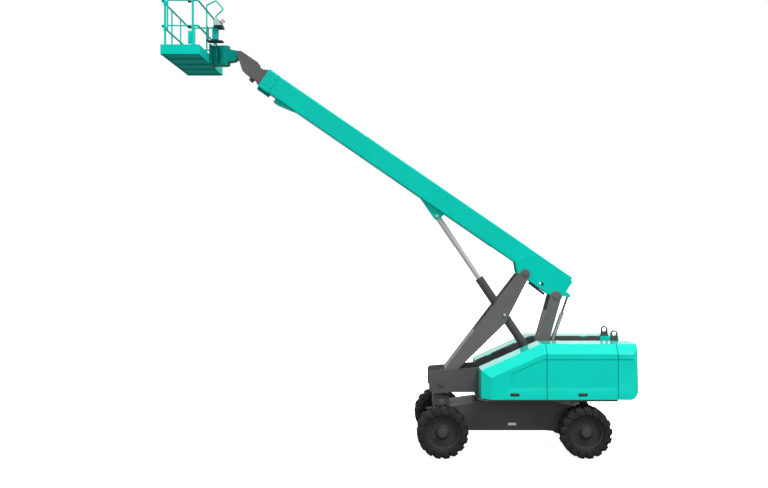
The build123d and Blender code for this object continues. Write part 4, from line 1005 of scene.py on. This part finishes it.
clean_slate()
bpy.ops.mesh.primitive_plane_add(size=FLOOR_SPAN)
floor = bpy.context.object
floor.name = "floor"
floor.data.materials.append(floor_finish())
floor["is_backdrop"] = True

scene = bpy.context.scene
world = bpy.data.worlds.new("studio_white")
scene.world = world
world.use_nodes = True
sky = world.node_tree
backdrop = sky.nodes["Background"]
backdrop.inputs["Color"].default_value = (1, 1, 1, 1)
heights = sky.nodes.new("ShaderNodeSeparateXYZ")
sky.links.new(sky.nodes.new("ShaderNodeTexCoord").outputs["Generated"], heights.inputs["Vector"])
ambient = spread(sky, heights.outputs["Z"], 0, 1, SKY_LOW, SKY_HIGH)
paths = sky.nodes.new("ShaderNodeLightPath")
reflected = sky.nodes.new("ShaderNodeMix")
sky.links.new(paths.outputs["Is Glossy Ray"], reflected.inputs["Factor"])
sky.links.new(ambient, reflected.inputs["A"])
mirrored_sky = spread(sky, heights.outputs["Y"], -0.1, 0.4, 1.0, MIRRORED_NEAR)
sky.links.new(mirrored_sky, reflected.inputs["B"])
level = sky.nodes.new("ShaderNodeMix")
sky.links.new(paths.outputs["Is Camera Ray"], level.inputs["Factor"])
sky.links.new(reflected.outputs["Result"], level.inputs["A"])
level.inputs["B"].default_value = 1.0
sky.links.new(level.outputs["Result"], backdrop.inputs["Strength"])

suns = [
    # name, strength, direction that it shines from
    ("top_sun", 2.25, (-0.30, 0.50, 0.82)),
    ("camera_sun", 0.62, (0.0, 1.0, 0.12)),
    ("far_sun", 0.80, (0.0, -1.0, 0.12)),
    ("front_sun", 1.05, (0.94, 0.15, 0.30)),
    ("rear_sun", 0.35, (-0.94, 0.15, 0.30)),
]
for sun_name, strength, shines_from in suns:
    sun = bpy.data.lights.new(sun_name, "SUN")
    sun.energy = strength
    sun.angle = radians(SUN_SPREAD)
    holder = bpy.data.objects.new(sun_name, sun)
    holder.rotation_euler = Vector(shines_from).to_track_quat("Z", "Y").to_euler()
    holder.visible_glossy = sun_name == "top_sun"
    scene.collection.objects.link(holder)

lens = bpy.data.cameras.new("photo_camera")
lens.sensor_width = SENSOR
lens.lens = SENSOR * FOCAL_PIXELS / FRAME_WIDTH
lens.shift_x = (FRAME_WIDTH / 2 - OPTICAL_AXIS[0]) / FRAME_WIDTH
lens.shift_y = (OPTICAL_AXIS[1] - FRAME_HEIGHT / 2) / FRAME_WIDTH
lens.clip_end = 1000
camera = bpy.data.objects.new("photo_camera", lens)
camera.location = CAMERA_PLACE
camera.rotation_euler = (pi / 2, 0, pi)
scene.collection.objects.link(camera)
scene.camera = camera
scene.view_settings.view_transform = "Standard"

low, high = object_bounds()
